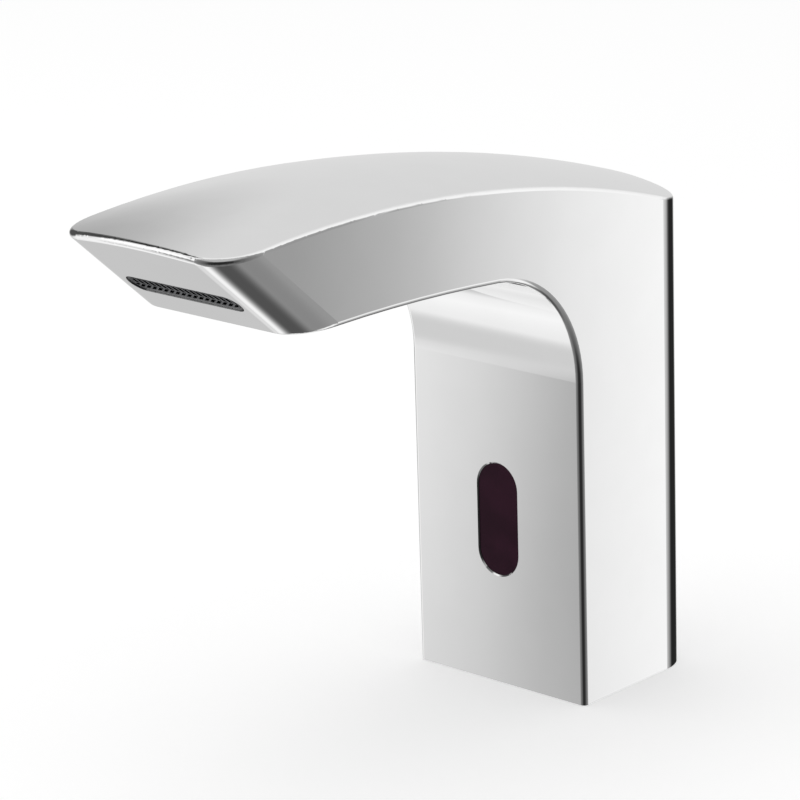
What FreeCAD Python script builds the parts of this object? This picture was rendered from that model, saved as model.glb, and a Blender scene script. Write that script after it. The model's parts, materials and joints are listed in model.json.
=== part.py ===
"""Sensor tap: a deck-mounted, self-contained basin tap that opens when a hand comes near.

Millimetres. The origin is in the middle of the foot's flat underside, +Z is up, and the spout
reaches towards -Y. Every size is a cell of the sheet, and every other number is worked out
from those cells.
"""
import FreeCAD, Part
import math
import os

import Sketcher

Vector = FreeCAD.Vector
Rotation = FreeCAD.Rotation

doc = FreeCAD.newDocument("sensor_tap")
sheet = doc.addObject("Spreadsheet::Sheet", "Sizes")


# ---------------------------------------------------------------- sizes and formulas

class Size:
    """A number together with the sheet formula that it comes from."""

    def __init__(self, value, text):
        self.value = float(value)
        self.text = text

    def join(self, other, sign, value):
        return Size(value, f"({self.text} {sign} {as_size(other).text})")

    def __add__(self, other):
        return self.join(other, "+", self.value + as_size(other).value)

    def __sub__(self, other):
        return self.join(other, "-", self.value - as_size(other).value)

    def __mul__(self, other):
        return self.join(other, "*", self.value * as_size(other).value)

    def __truediv__(self, other):
        return self.join(other, "/", self.value / as_size(other).value)

    def __radd__(self, other):
        return as_size(other) + self

    def __rsub__(self, other):
        return as_size(other) - self

    def __rmul__(self, other):
        return as_size(other) * self

    def __neg__(self):
        return as_size(0) - self


def as_size(value):
    return value if isinstance(value, Size) else Size(value, repr(float(value)))


def root(size):
    return Size(math.sqrt(size.value), f"sqrt({size.text})")


def sine(angle):
    return Size(math.sin(math.radians(angle.value)), f"sin({angle.text} * 1 deg)")


def cosine(angle):
    return Size(math.cos(math.radians(angle.value)), f"cos({angle.text} * 1 deg)")


def size(alias, value, note):
    """Adds one driving size to the sheet and gives it back as a Size."""
    row = size.next_row
    size.next_row += 1
    sheet.set(f"A{row}", alias)
    sheet.set(f"B{row}", str(value))
    sheet.set(f"C{row}", note)
    sheet.setAlias(f"B{row}", alias)
    return Size(value, f"Sizes.{alias}")


size.next_row = 1

# Casting, outside
body_width = size("body_width", 50.0, "column and spout, side to side")
column_depth = size("column_depth", 40.5, "column, front to back")
rear_edge_radius = size("rear_edge_radius", 10.5, "upright edges at the back")
front_edge_radius = size("front_edge_radius", 1.2, "front and underside edges")
crown_reach = size("crown_reach", 90.05, "highest point of the top, in front of the origin")
crown_height = size("crown_height", 128.4, "highest point of the top")
top_radius = size("top_radius", 328.0, "arc of the top, seen from the side")
crown_rise = size("crown_rise", 2.75, "middle of the top above its side edges")
crown_back = size("crown_back", 4.65, "middle's highest point behind that of the side edges")
under_height = size("under_height", 106.7, "highest point of the spout's underside")
under_radius = size("under_radius", 475.0, "arc of the spout's underside")
corner_radius = size("corner_radius", 28.5, "hollow between the underside and the column")
outlet_reach = size("outlet_reach", 107.3, "lower edge of the outlet face, in front of the origin")
outlet_angle = size("outlet_angle", 41.5, "outlet face above the level, in degrees")
outlet_edge_radius = size("outlet_edge_radius", 8.0, "side edges of the outlet face")
rim_radius = size("rim_radius", 1.0, "rim all round the top, with the front lip")
# Casting, inside
wall = size("wall", 3.0, "wall of the casting")
end_wall = size("end_wall", 5.0, "wall behind the outlet face")
slot_length = size("slot_length", 32.6, "outlet slot")
slot_width = size("slot_width", 6.2, "outlet slot")
slot_height = size("slot_height", 11.45, "outlet slot's middle, up the face from its lower edge")
# Fits
fit_gap = size("fit_gap", 0.1, "between pieces that are pushed together")
slide_gap = size("slide_gap", 0.05, "round the plunger")
# Sensor window
window_width = size("window_width", 12.1, "opening in the column's front")
window_length = size("window_length", 27.4, "opening in the column's front")
window_height = size("window_height", 39.5, "middle of the window above the foot")
window_recess = size("window_recess", 0.4, "window face behind the column's front")
window_flange = size("window_flange", 1.9, "window's flange past the opening")
flange_thickness = size("flange_thickness", 1.2, "window's flange")
gasket_thickness = size("gasket_thickness", 0.7, "window gasket, squeezed")
# Foot
plate_thickness = size("plate_thickness", 8.0, "base plate")
seal_width = size("seal_width", 1.4, "cord seal in the rim")
seal_depth = size("seal_depth", 1.2, "cord seal in the rim")
inlet_radius = size("inlet_radius", 4.46, "core hole of the inlet thread")
stud_radius = size("stud_radius", 3.4, "core hole of the fixing stud's thread")
stud_depth = size("stud_depth", 7.0, "fixing stud's thread")
stud_side = size("stud_side", 8.5, "fixing stud, to the right of the origin")
lock_radius = size("lock_radius", 2.5, "lock screw")
lock_height = size("lock_height", 5.0, "lock screw above the foot")
lock_length = size("lock_length", 4.05, "lock screw")
lock_sink = size("lock_sink", 0.25, "lock screw's tail below the casting's back")
lock_tip_length = size("lock_tip_length", 1.2, "lock screw's cone")
lock_tip_radius = size("lock_tip_radius", 0.75, "lock screw's cone, small end")
lock_socket_radius = size("lock_socket_radius", 1.45, "lock screw's socket, across its corners, half")
lock_socket_depth = size("lock_socket_depth", 2.0, "lock screw's socket")
# Valve
valve_side = size("valve_side", 6.5, "valve axis, to the left of the origin")
valve_back = size("valve_back", 5.0, "valve axis, behind the origin")
valve_width = size("valve_width", 22.0, "valve block, square")
valve_height = size("valve_height", 14.0, "valve block")
valve_edge_radius = size("valve_edge_radius", 3.0, "valve block's upright edges")
chamber_radius = size("chamber_radius", 8.5, "water chamber")
chamber_depth = size("chamber_depth", 8.0, "water chamber")
seat_outer = size("seat_outer", 4.5, "valve seat, outside")
seat_inner = size("seat_inner", 3.0, "valve seat, bore")
seat_drop = size("seat_drop", 2.0, "seat below the valve block's top")
filter_ledge = size("filter_ledge", 0.5, "ledge above the inlet thread that the filter's rim stands on")
filter_rim = size("filter_rim", 0.8, "inlet filter's rim")
filter_rise = size("filter_rise", 4.2, "inlet filter's drum above the base plate")
filter_wall = size("filter_wall", 0.5, "inlet filter")
drum_radius = size("drum_radius", 2.4, "inlet filter's drum")
slit_width = size("slit_width", 0.4, "slits in the inlet filter")
bonnet_height = size("bonnet_height", 5.2, "bonnet")
rim_thickness = size("rim_thickness", 1.3, "diaphragm's clamped rim")
screw_radius = size("screw_radius", 1.5, "small screws")
head_radius = size("head_radius", 2.7, "small screws' heads")
head_height = size("head_height", 1.7, "small screws' heads")
screw_edge = size("screw_edge", 2.8, "valve screws, in from the block's sides")
# Solenoid
plunger_radius = size("plunger_radius", 4.0, "plunger")
spring_wire = size("spring_wire", 0.3, "plunger spring's wire, its radius")
spring_turns = size("spring_turns", 6, "turns of the plunger spring")
plunger_length = size("plunger_length", 13.5, "plunger")
plunger_stroke = size("plunger_stroke", 2.0, "plunger's lift")
plunger_gap = size("plunger_gap", 0.5, "left above the lifted plunger")
sleeve_wall = size("sleeve_wall", 0.45, "core tube's wall")
core_length = size("core_length", 7.0, "fixed core inside the tube")
coil_radius = size("coil_radius", 8.1, "coil winding, outside")
yoke_thickness = size("yoke_thickness", 1.2, "yoke sheet")
yoke_width = size("yoke_width", 20.0, "yoke, square in plan")
bobbin_wall = size("bobbin_wall", 0.9, "bobbin's tube and flanges")
magnet_height = size("magnet_height", 2.0, "latch magnet")
nut_height = size("nut_height", 2.2, "coil nut")
nut_radius = size("nut_radius", 4.0, "coil nut, across its corners, half")
# Sensor module
housing_width = size("housing_width", 19.0, "sensor housing")
housing_length = size("housing_length", 31.5, "sensor housing")
housing_wall = size("housing_wall", 1.2, "sensor housing")
housing_depth = size("housing_depth", 6.85, "sensor housing, front to back")
board_thickness = size("board_thickness", 1.0, "circuit board")
lens_radius = size("lens_radius", 1.6, "infrared lamps")
lens_spread = size("lens_spread", 8.5, "emitter above and receiver below the middle")
ear_thickness = size("ear_thickness", 2.0, "housing's screw ears")
ear_reach = size("ear_reach", 2.4, "housing's screw ears, past the screw")
ear_half_height = size("ear_half_height", 3.5, "housing's screw ears")
ear_screw_radius = size("ear_screw_radius", 1.05, "screws through the housing's ears")
ear_head_radius = size("ear_head_radius", 2.0, "screws through the housing's ears")
ear_head_height = size("ear_head_height", 1.2, "screws through the housing's ears")
baffle_rise = size("baffle_rise", 2.4, "wall between the two lamps, above the middle")
baffle_thickness = size("baffle_thickness", 1.0, "wall between the two lamps")
# Frame and battery
frame_wall = size("frame_wall", 1.5, "moulded frame")
frame_gap = size("frame_gap", 0.5, "frame to the casting")
cheek_depth = size("cheek_depth", 13.0, "frame's side cheeks, front to back")
shelf_height = size("shelf_height", 55.5, "underside of the frame's shelf")
battery_width = size("battery_width", 34.5, "6 V lithium block")
battery_depth = size("battery_depth", 19.5, "6 V lithium block")
battery_height = size("battery_height", 36.0, "6 V lithium block")
battery_edge = size("battery_edge", 6.0, "6 V lithium block's upright edges")
cradle_wall = size("cradle_wall", 1.2, "battery cradle")
cradle_height = size("cradle_height", 23.0, "battery cradle")
contact_height = size("contact_height", 0.8, "battery contacts above the cradle's floor")
# Water tube
tube_radius = size("tube_radius", 3.0, "water tube, outside")
tube_bore = size("tube_bore", 2.0, "water tube, bore")
tube_side = size("tube_side", 13.5, "riser, to the right of the origin")
spigot_length = size("spigot_length", 8.0, "nozzle spigot inside the tube")
spigot_height = size("spigot_height", 118.8, "nozzle spigot above the foot")
nozzle_wall = size("nozzle_wall", 0.8, "nozzle")
nozzle_depth = size("nozzle_depth", 9.5, "nozzle, behind the outlet face")
strainer_recess = size("strainer_recess", 0.7, "strainer behind the outlet face")
strainer_thickness = size("strainer_thickness", 0.6, "strainer sheet")
lead_radius = size("lead_radius", 0.6, "one insulated lead")
socket_depth = size("socket_depth", 2.4, "sockets on the board")
plug_run = size("plug_run", 2.0, "straight end of a lead")

doc.recompute()

# ---------------------------------------------------------------- levels and lines used by many pieces

# How far a cutting shape stands out of what it cuts
over = 0.1

half_width = body_width / 2
half_depth = column_depth / 2
inner_half_width = half_width - wall
inner_front = wall - half_depth
inner_back = half_depth - wall
top_centre = (-crown_reach, crown_height - top_radius)
middle_centre = (top_centre[0] + crown_back, top_centre[1] + crown_rise)
block_spare = crown_rise * 3
under_centre = (-crown_reach, under_height - under_radius)
outlet_edge = (-outlet_reach,
               under_centre[1] + root(under_radius * under_radius
                                      - (outlet_reach - crown_reach) * (outlet_reach - crown_reach)))
# Up the outlet face, and out of it
face_up = (-cosine(outlet_angle), sine(outlet_angle))
face_out = (-sine(outlet_angle), -cosine(outlet_angle))
slot_centre = (outlet_edge[0] + slot_height * face_up[0], outlet_edge[1] + slot_height * face_up[1])

valve_x = -valve_side
valve_y = valve_back
valve_top = plate_thickness + valve_height
seat_top = valve_top - seat_drop
bonnet_bottom = valve_top + rim_thickness
bonnet_top = bonnet_bottom + bonnet_height
inlet_y = valve_y - (seat_outer + chamber_radius) / 2
filter_seat = inlet_radius + filter_ledge
filter_radius = filter_seat - fit_gap
inlet_seal_radius = inlet_radius - filter_ledge / 2
rim_bottom = seat_top + 1.0
pilot_top = bonnet_bottom + 1.9
plunger_bottom = pilot_top + 0.8
plunger_top = plunger_bottom + plunger_length
core_bottom = plunger_top + plunger_stroke + plunger_gap
core_top = core_bottom + core_length
sleeve_inner = plunger_radius + slide_gap
sleeve_outer = sleeve_inner + sleeve_wall
yoke_top = core_top + 0.2
window_back = inner_front + gasket_thickness + flange_thickness
frame_front = window_back + housing_depth
frame_back = frame_front + frame_wall
frame_half = inner_half_width - frame_gap
battery_front = inner_front + 0.4 + cradle_wall + fit_gap
cradle_floor = shelf_height + frame_wall + cradle_wall
tube_y = valve_y + 6.0
board_back = frame_front - 1.1
board_front = board_back - board_thickness


# ---------------------------------------------------------------- drawing tools

def bind(thing, prop, value):
    thing.setExpression(prop, as_size(value).text)


def move_to(thing, x, y, z):
    bind(thing, "Placement.Base.x", x)
    bind(thing, "Placement.Base.y", y)
    bind(thing, "Placement.Base.z", z)


def box(name, x, y, z):
    """A block given by its low and high side on each axis."""
    block = doc.addObject("Part::Box", name)
    bind(block, "Length", x[1] - x[0])
    bind(block, "Width", y[1] - y[0])
    bind(block, "Height", z[1] - z[0])
    move_to(block, x[0], y[0], z[0])
    return block


AXIS_TURNS = {
    "X": Rotation(Vector(0, 1, 0), 90),
    "Y": Rotation(Vector(1, 0, 0), -90),
    "Z": Rotation(),
}


def place_round(thing, axis, start, centre):
    thing.Placement = FreeCAD.Placement(Vector(), AXIS_TURNS[axis])
    spot = {"X": (start, centre[0], centre[1]),
            "Y": (centre[0], start, centre[1]),
            "Z": (centre[0], centre[1], start)}[axis]
    move_to(thing, *spot)


def cylinder(name, radius, span, centre, axis="Z"):
    """A cylinder from span[0] to span[1] along axis; centre is its place on the other two axes."""
    rod = doc.addObject("Part::Cylinder", name)
    bind(rod, "Radius", radius)
    bind(rod, "Height", span[1] - span[0])
    place_round(rod, axis, span[0], centre)
    return rod


def cone(name, low_radius, high_radius, span, centre, axis="Z"):
    taper = doc.addObject("Part::Cone", name)
    bind(taper, "Radius1", low_radius)
    bind(taper, "Radius2", high_radius)
    bind(taper, "Height", span[1] - span[0])
    place_round(taper, axis, span[0], centre)
    return taper


def hexagon(name, corner_radius, span, centre, axis="Z"):
    prism = doc.addObject("Part::Prism", name)
    prism.Polygon = 6
    bind(prism, "Circumradius", corner_radius)
    bind(prism, "Height", span[1] - span[0])
    place_round(prism, axis, span[0], centre)
    return prism


def fuse(name, *shapes):
    union = doc.addObject("Part::MultiFuse", name)
    union.Shapes = list(shapes)
    union.Refine = True
    return union


def cut(name, base, *tools):
    difference = doc.addObject("Part::Cut", name)
    difference.Base = base
    difference.Tool = tools[0] if len(tools) == 1 else fuse(name + "_tools", *tools)
    return difference


def ring(name, outer, inner, span, centre, axis="Z"):
    return cut(name,
               cylinder(name + "_outside", outer, span, centre, axis),
               cylinder(name + "_bore", inner, span, centre, axis))


def group(name, *shapes):
    """Separate solids of one node."""
    compound = doc.addObject("Part::Compound", name)
    compound.Links = list(shapes)
    return compound


nodes = []


def node(thing, name):
    thing.Label = name
    nodes.append(thing)
    return thing


def new_body(name):
    return doc.addObject("PartDesign::Body", name)


def new_sketch(body, plane, name, height=0):
    """A sketch on one of the body's origin planes, moved off it by height."""
    sketch = body.newObject("Sketcher::SketchObject", name)
    support = [part for part in body.Origin.OriginFeatures if part.Role == plane][0]
    sketch.AttachmentSupport = [(support, "")]
    sketch.MapMode = "FlatFace"
    bind(sketch, "AttachmentOffset.Base.z", height)
    return sketch


def pin(sketch, shape, end, x, y):
    """Holds one point of a sketch at (x, y)."""
    for kind, value in (("DistanceX", x), ("DistanceY", y)):
        value = as_size(value)
        row = sketch.addConstraint(Sketcher.Constraint(kind, -1, 1, shape, end, value.value))
        sketch.setExpression(f"Constraints[{row}]", value.text)


def hold_radius(sketch, shape, radius):
    radius = as_size(radius)
    row = sketch.addConstraint(Sketcher.Constraint("Radius", shape, radius.value))
    sketch.setExpression(f"Constraints[{row}]", radius.text)


def point(x, y):
    return Vector(as_size(x).value, as_size(y).value, 0)


def arc_between(start, end, radius):
    """The arc of under a half turn from start to end; a radius below zero bends clockwise."""
    chord = end - start
    height = math.sqrt(radius * radius - chord.Length ** 2 / 4)
    side = 1 if radius > 0 else -1
    left = Vector(-chord.y, chord.x, 0).normalize()
    centre = (start + end) * 0.5 + left * height * side
    low, high = (start, end) if radius > 0 else (end, start)
    angles = [math.atan2(spot.y - centre.y, spot.x - centre.x) for spot in (low, high)]
    return Part.ArcOfCircle(Part.Circle(centre, Vector(0, 0, 1), abs(radius)), *angles)


def outline(sketch, corners):
    """A closed outline. Each corner is (x, y) or (x, y, radius of the arc to the next corner)."""
    first = sketch.GeometryCount
    count = len(corners)
    ends = []
    for index, corner in enumerate(corners):
        following = corners[(index + 1) % count]
        start = point(corner[0], corner[1])
        end = point(following[0], following[1])
        bend = as_size(corner[2]).value if len(corner) > 2 else 0
        if bend:
            shape = sketch.addGeometry(arc_between(start, end, bend), False)
            # a clockwise bend is drawn anticlockwise, from its far end
            ends.append((shape, 1, 2) if bend > 0 else (shape, 2, 1))
            hold_radius(sketch, shape, corner[2] if bend > 0 else -corner[2])
        else:
            shape = sketch.addGeometry(Part.LineSegment(start, end), False)
            ends.append((shape, 1, 2))
    for index, (shape, start, _) in enumerate(ends):
        before, _, end = ends[index - 1]
        sketch.addConstraint(Sketcher.Constraint("Coincident", before, end, shape, start))
        pin(sketch, shape, start, corners[index][0], corners[index][1])
    return first


def circle(sketch, x, y, radius):
    shape = sketch.addGeometry(Part.Circle(point(x, y), Vector(0, 0, 1), as_size(radius).value), False)
    pin(sketch, shape, 3, x, y)
    hold_radius(sketch, shape, radius)


def rectangle(sketch, x, y):
    outline(sketch, [(x[0], y[0]), (x[1], y[0]), (x[1], y[1]), (x[0], y[1])])


def rounded_rectangle(sketch, x, y, radius):
    outline(sketch, [
        (x[0] + radius, y[0]), (x[1] - radius, y[0], radius),
        (x[1], y[0] + radius), (x[1], y[1] - radius, radius),
        (x[1] - radius, y[1]), (x[0] + radius, y[1], radius),
        (x[0], y[1] - radius), (x[0], y[0] + radius, radius)])


def obround(sketch, x, y, width, length, upright):
    """A slot with round ends: length is over all, width is twice the end radius."""
    radius = width / 2
    reach = length / 2 - radius
    shapes = []
    for sign in (1, -1):
        cx, cy = (x, y + reach * sign) if upright else (x + reach * sign, y)
        start = (0 if upright else -90) + (0 if sign > 0 else 180)
        circle_shape = Part.Circle(point(cx, cy), Vector(0, 0, 1), radius.value)
        low, high = math.radians(start), math.radians(start + 180)
        shape = sketch.addGeometry(Part.ArcOfCircle(circle_shape, low, high), False)
        pin(sketch, shape, 3, cx, cy)
        shapes.append(shape)
    hold_radius(sketch, shapes[0], radius)
    for here, there in ((0, 1), (1, 0)):
        geometry = sketch.Geometry
        side = sketch.addGeometry(Part.LineSegment(geometry[shapes[here]].EndPoint,
                                                   geometry[shapes[there]].StartPoint), False)
        sketch.addConstraint(Sketcher.Constraint("Tangent", shapes[here], 2, side, 1))
        sketch.addConstraint(Sketcher.Constraint("Tangent", side, 2, shapes[there], 1))


def column_outline(sketch, inset):
    """The column seen from above, taken in by inset: square in front, rounded behind."""
    w = half_width - inset
    d = half_depth - inset
    r = rear_edge_radius - inset
    outline(sketch, [(-w, -d), (w, -d), (w, d - r, r), (w - r, d), (r - w, d, r), (-w, d - r)])


def pad(body, sketch, length, symmetric=False, reverse=False, kind="PartDesign::Pad"):
    feature = body.newObject(kind, sketch.Name + "_solid")
    feature.Profile = sketch
    bind(feature, "Length", length)
    feature.SideType = "Symmetric" if symmetric else "One side"
    feature.Reversed = reverse
    return feature


def pocket(body, sketch, length, symmetric=False, reverse=False):
    """Cuts the sketch out of the body, and makes sure that it met the solid."""
    before = body.Tip
    doc.recompute()
    volume = body.Shape.Volume
    feature = pad(body, sketch, length, symmetric, reverse, "PartDesign::Pocket")
    doc.recompute()
    if before is not None and body.Shape.Volume > volume - 1e-6:
        raise RuntimeError(feature.Name + " cuts nothing")
    return feature


def fillet_edges(body, name, radius, chosen):
    """Rounds the edges of the body for which chosen(edge) is true."""
    doc.recompute()
    base = body.Tip
    picked = [f"Edge{index + 1}" for index, edge in enumerate(base.Shape.Edges) if chosen(edge)]
    if not picked:
        raise RuntimeError(name + " finds no edge")
    feature = body.newObject("PartDesign::Fillet", name)
    feature.Base = (base, picked)
    bind(feature, "Radius", radius)
    doc.recompute()
    return feature


def near(a, b, slack=1e-3):
    return abs(a - b) < slack


def is_upright(edge, x, y):
    """True for a straight vertical edge at plus or minus x, and at y."""
    ends = [vertex.Point for vertex in edge.Vertexes]
    return (len(ends) == 2 and all(near(abs(p.x), x.value) and near(p.y, y.value) for p in ends)
            and not near(ends[0].z, ends[1].z))


# ---------------------------------------------------------------- the casting

def side_profile(inset, end_inset, bottom, top_r):
    """Corners of the casting seen from the side (y, z), taken in by inset; top_r is the top's radius.

    The top and the underside are arcs about centres far below, the underside runs into the
    column's front through a hollow arc, and the outlet face leans forward over its lower edge.
    """
    under_r = under_radius + inset
    hollow_r = corner_radius + inset
    back = half_depth - inset
    front = inset - half_depth
    back_top = top_centre[1] + root(top_r * top_r - (back - top_centre[0]) * (back - top_centre[0]))
    tip = on_outlet_plane(top_centre, top_r, end_inset)
    lower = on_outlet_plane(under_centre, under_r, end_inset)
    hollow_y = -half_depth - corner_radius
    reach = under_radius - corner_radius
    rise = root(reach * reach - (hollow_y - under_centre[0]) * (hollow_y - under_centre[0]))
    hollow_z = under_centre[1] + rise
    touch = (under_centre[0] + (hollow_y - under_centre[0]) * under_r / reach,
             under_centre[1] + rise * under_r / reach)
    return [(front, bottom), (back, bottom), (back, back_top, top_r), tip,
            (lower[0], lower[1], -under_r), (touch[0], touch[1], -hollow_r), (front, hollow_z)]


def on_outlet_plane(centre, radius, end_inset):
    """Where the outlet face, moved inwards by end_inset, meets a circle in the side view."""
    start = (outlet_edge[0] - end_inset * face_out[0], outlet_edge[1] - end_inset * face_out[1])
    across = (start[0] - centre[0], start[1] - centre[1])
    along = across[0] * face_up[0] + across[1] * face_up[1]
    beyond = across[0] * across[0] + across[1] * across[1] - radius * radius
    travel = root(along * along - beyond) - along
    return (start[0] + travel * face_up[0], start[1] + travel * face_up[1])


def crown_the_top(body):
    """Shapes the top: an arc along each side edge, and a higher one along the middle."""
    back = half_depth + block_spare
    front = -outlet_reach - outlet_edge_radius * 4
    high = crown_height + block_spare * 3
    sections = []
    for name, side, centre in (("TopLeft", -half_width, top_centre), ("TopMiddle", as_size(0), middle_centre),
                               ("TopRight", half_width, top_centre)):
        section = new_sketch(body, "YZ_Plane", name, side)
        ends = [(y, centre[1] + root(top_radius * top_radius - (y - centre[0]) * (y - centre[0])))
                for y in (back, front)]
        outline(section, [(back, high), (*ends[0], top_radius), ends[1], (front, high)])
        sections.append(section)
    loft = body.newObject("PartDesign::SubtractiveLoft", "CrownedTop")
    loft.Profile = sections[0]
    loft.Sections = sections[1:]
    doc.recompute()


def soften_rim(body):
    """Rounds the whole rim of the crowned top."""
    doc.recompute()
    faces = [face for face in body.Tip.Shape.Faces if face.Area > body_width.value ** 2]
    crown = max(faces, key=lambda face: face.CenterOfMass.z)
    fillet_edges(body, "Rim", rim_radius,
                 lambda edge: any(edge.isSame(side) for side in crown.OuterWire.Edges))


def tilt_to_outlet(sketch, depth):
    """Lays a sketch parallel to the outlet face, depth behind it, with the slot's middle as origin."""
    sketch.AttachmentOffset = FreeCAD.Placement(Vector(), Rotation(Vector(1, 0, 0), 180 - outlet_angle.value))
    bind(sketch, "AttachmentOffset.Rotation.Angle", 180 - outlet_angle)
    bind(sketch, "AttachmentOffset.Base.y", slot_centre[0] - depth * face_out[0])
    bind(sketch, "AttachmentOffset.Base.z", slot_centre[1] - depth * face_out[1])


def round_outlet_sides(body):
    """Rounds the two slanted edges beside the outlet face, with a cut that runs along the face."""
    corners = new_sketch(body, "XY_Plane", "OutletSides")
    corners.AttachmentOffset = FreeCAD.Placement(Vector(), Rotation(Vector(1, 0, 0), -90 - outlet_angle.value))
    bind(corners, "AttachmentOffset.Rotation.Angle", -90 - outlet_angle)
    start = outlet_edge_radius * 1.5
    bind(corners, "AttachmentOffset.Base.y", outlet_edge[0] - start * face_up[0])
    bind(corners, "AttachmentOffset.Base.z", outlet_edge[1] - start * face_up[1])
    r = outlet_edge_radius
    for sign in (-1, 1):
        side = half_width * sign
        outline(corners, [(side, -r, r * sign), (side - r * sign, 0), (side - r * sign, 3),
                          (side + 3 * sign, 3), (side + 3 * sign, -r)])
    pocket(body, corners, start + body_width)


def make_body_shell():
    body = new_body("BodyShell")
    zero = as_size(0)
    profile = new_sketch(body, "YZ_Plane", "ShellProfile")
    outline(profile, side_profile(zero, zero, zero, top_radius + block_spare))
    pad(body, profile, body_width, symmetric=True)
    crown_the_top(body)
    round_outlet_sides(body)
    cavity = new_sketch(body, "YZ_Plane", "Cavity")
    outline(cavity, side_profile(wall, end_wall, as_size(-1), top_radius - wall))
    pocket(body, cavity, inner_half_width * 2, symmetric=True)
    fillet_edges(body, "InnerRearEdges", rear_edge_radius - wall,
                 lambda edge: is_upright(edge, inner_half_width, inner_back))
    fillet_edges(body, "FrontEdges", front_edge_radius, lambda edge: is_upright(edge, half_width, -half_depth))
    fillet_edges(body, "RearEdges", rear_edge_radius, lambda edge: is_upright(edge, half_width, half_depth))

    window = new_sketch(body, "XZ_Plane", "WindowOpening", half_depth)
    obround(window, as_size(0), window_height, window_width, window_length, upright=True)
    pocket(body, window, wall + 1)

    slot = new_sketch(body, "XY_Plane", "OutletSlot")
    tilt_to_outlet(slot, as_size(-1))
    obround(slot, as_size(0), as_size(0), slot_width, slot_length, upright=False)
    pocket(body, slot, end_wall + 2)

    groove = new_sketch(body, "XY_Plane", "SealGroove")
    column_outline(groove, (wall - seal_width) / 2)
    column_outline(groove, (wall + seal_width) / 2)
    pocket(body, groove, seal_depth, reverse=True)

    lock = new_sketch(body, "XZ_Plane", "LockHole", -half_depth)
    circle(lock, 0, lock_height, lock_radius + slide_gap)
    pocket(body, lock, wall + 1, reverse=True)
    soften_rim(body)
    return node(body, "body_shell")


def make_base_seal():
    body = new_body("BaseSeal")
    track = new_sketch(body, "XY_Plane", "SealTrack")
    column_outline(track, (wall - seal_width) / 2)
    column_outline(track, (wall + seal_width) / 2)
    pad(body, track, seal_depth)
    return node(body, "base_seal")


# ---------------------------------------------------------------- the foot

def make_base_plate():
    body = new_body("BasePlate")
    plan = new_sketch(body, "XY_Plane", "PlateOutline")
    column_outline(plan, wall + fit_gap)
    pad(body, plan, plate_thickness)
    inlet = new_sketch(body, "XY_Plane", "InletThread")
    circle(inlet, valve_x, inlet_y, inlet_radius)
    pocket(body, inlet, plate_thickness, reverse=True)
    ledge = new_sketch(body, "XY_Plane", "FilterSeat", plate_thickness)
    circle(ledge, valve_x, inlet_y, filter_seat)
    pocket(body, ledge, filter_rim)
    stud = new_sketch(body, "XY_Plane", "StudThread")
    circle(stud, stud_side, 0, stud_radius)
    pocket(body, stud, stud_depth, reverse=True)
    screws = new_sketch(body, "XY_Plane", "FrameScrewHoles")
    heads = new_sketch(body, "XY_Plane", "FrameScrewHeads")
    for sign in (-1, 1):
        circle(screws, frame_screw_x * sign, frame_screw_y, screw_radius + slide_gap)
        circle(heads, frame_screw_x * sign, frame_screw_y, head_radius + fit_gap)
    pocket(body, screws, plate_thickness, reverse=True)
    pocket(body, heads, head_height + 0.3, reverse=True)
    notch_deep = half_depth - lock_sink - lock_length - fit_gap
    notch_slope = (lock_radius - lock_tip_radius) / lock_tip_length
    notch_end = inner_back + fit_gap
    notch = cone("LockNotch", lock_tip_radius, lock_tip_radius + (notch_end - notch_deep) * notch_slope,
                 (notch_deep, notch_end), (as_size(0), lock_height), "Y")
    corners = valve_screw_places()
    holes = [cylinder(f"PlateScrewHole{index}", screw_radius + slide_gap,
                      (plate_thickness - 5, plate_thickness), place)
             for index, place in enumerate(corners)]
    return node(cut("BasePlateCut", body, notch, *holes), "base_plate")


frame_screw_x = frame_half - 5.0
frame_screw_y = frame_front - 3.2


def valve_screw_places():
    """The four screws at the valve block's corners."""
    reach = valve_width / 2 - screw_edge
    return [(valve_x + reach * across, valve_y + reach * along) for across in (-1, 1) for along in (-1, 1)]


def make_lock_screw():
    """Socket set screw at the back: its cone tip stands in the base plate's notch."""
    tail = half_depth - lock_sink
    tip = tail - lock_length
    shoulder = tip + lock_tip_length
    line = (as_size(0), lock_height)
    shank = cylinder("LockShank", lock_radius, (shoulder, tail), line, "Y")
    point_cone = cone("LockTip", lock_tip_radius, lock_radius, (tip, shoulder), line, "Y")
    socket = hexagon("LockSocket", lock_socket_radius, (tail - lock_socket_depth, tail + over), line, "Y")
    return node(cut("LockScrew", fuse("LockSolid", shank, point_cone), socket), "lock_screw")


def pan_screw(name, place, span, head_below=False, axis="Z"):
    """A screw along axis, with its head at the high end, or at the low end."""
    low, high = span
    head_span = (low, low + head_height) if head_below else (high - head_height, high)
    shank = cylinder(name + "_shank", screw_radius, span, place, axis)
    head = cylinder(name + "_head", head_radius, head_span, place, axis)
    drive_span = (low - 0.1, low + 1.1) if head_below else (high - 1.1, high + 0.1)
    drive = hexagon(name + "_drive", screw_radius * 0.95, drive_span, place, axis)
    return cut(name, fuse(name + "_solid", shank, head), drive)


# ---------------------------------------------------------------- the valve

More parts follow.
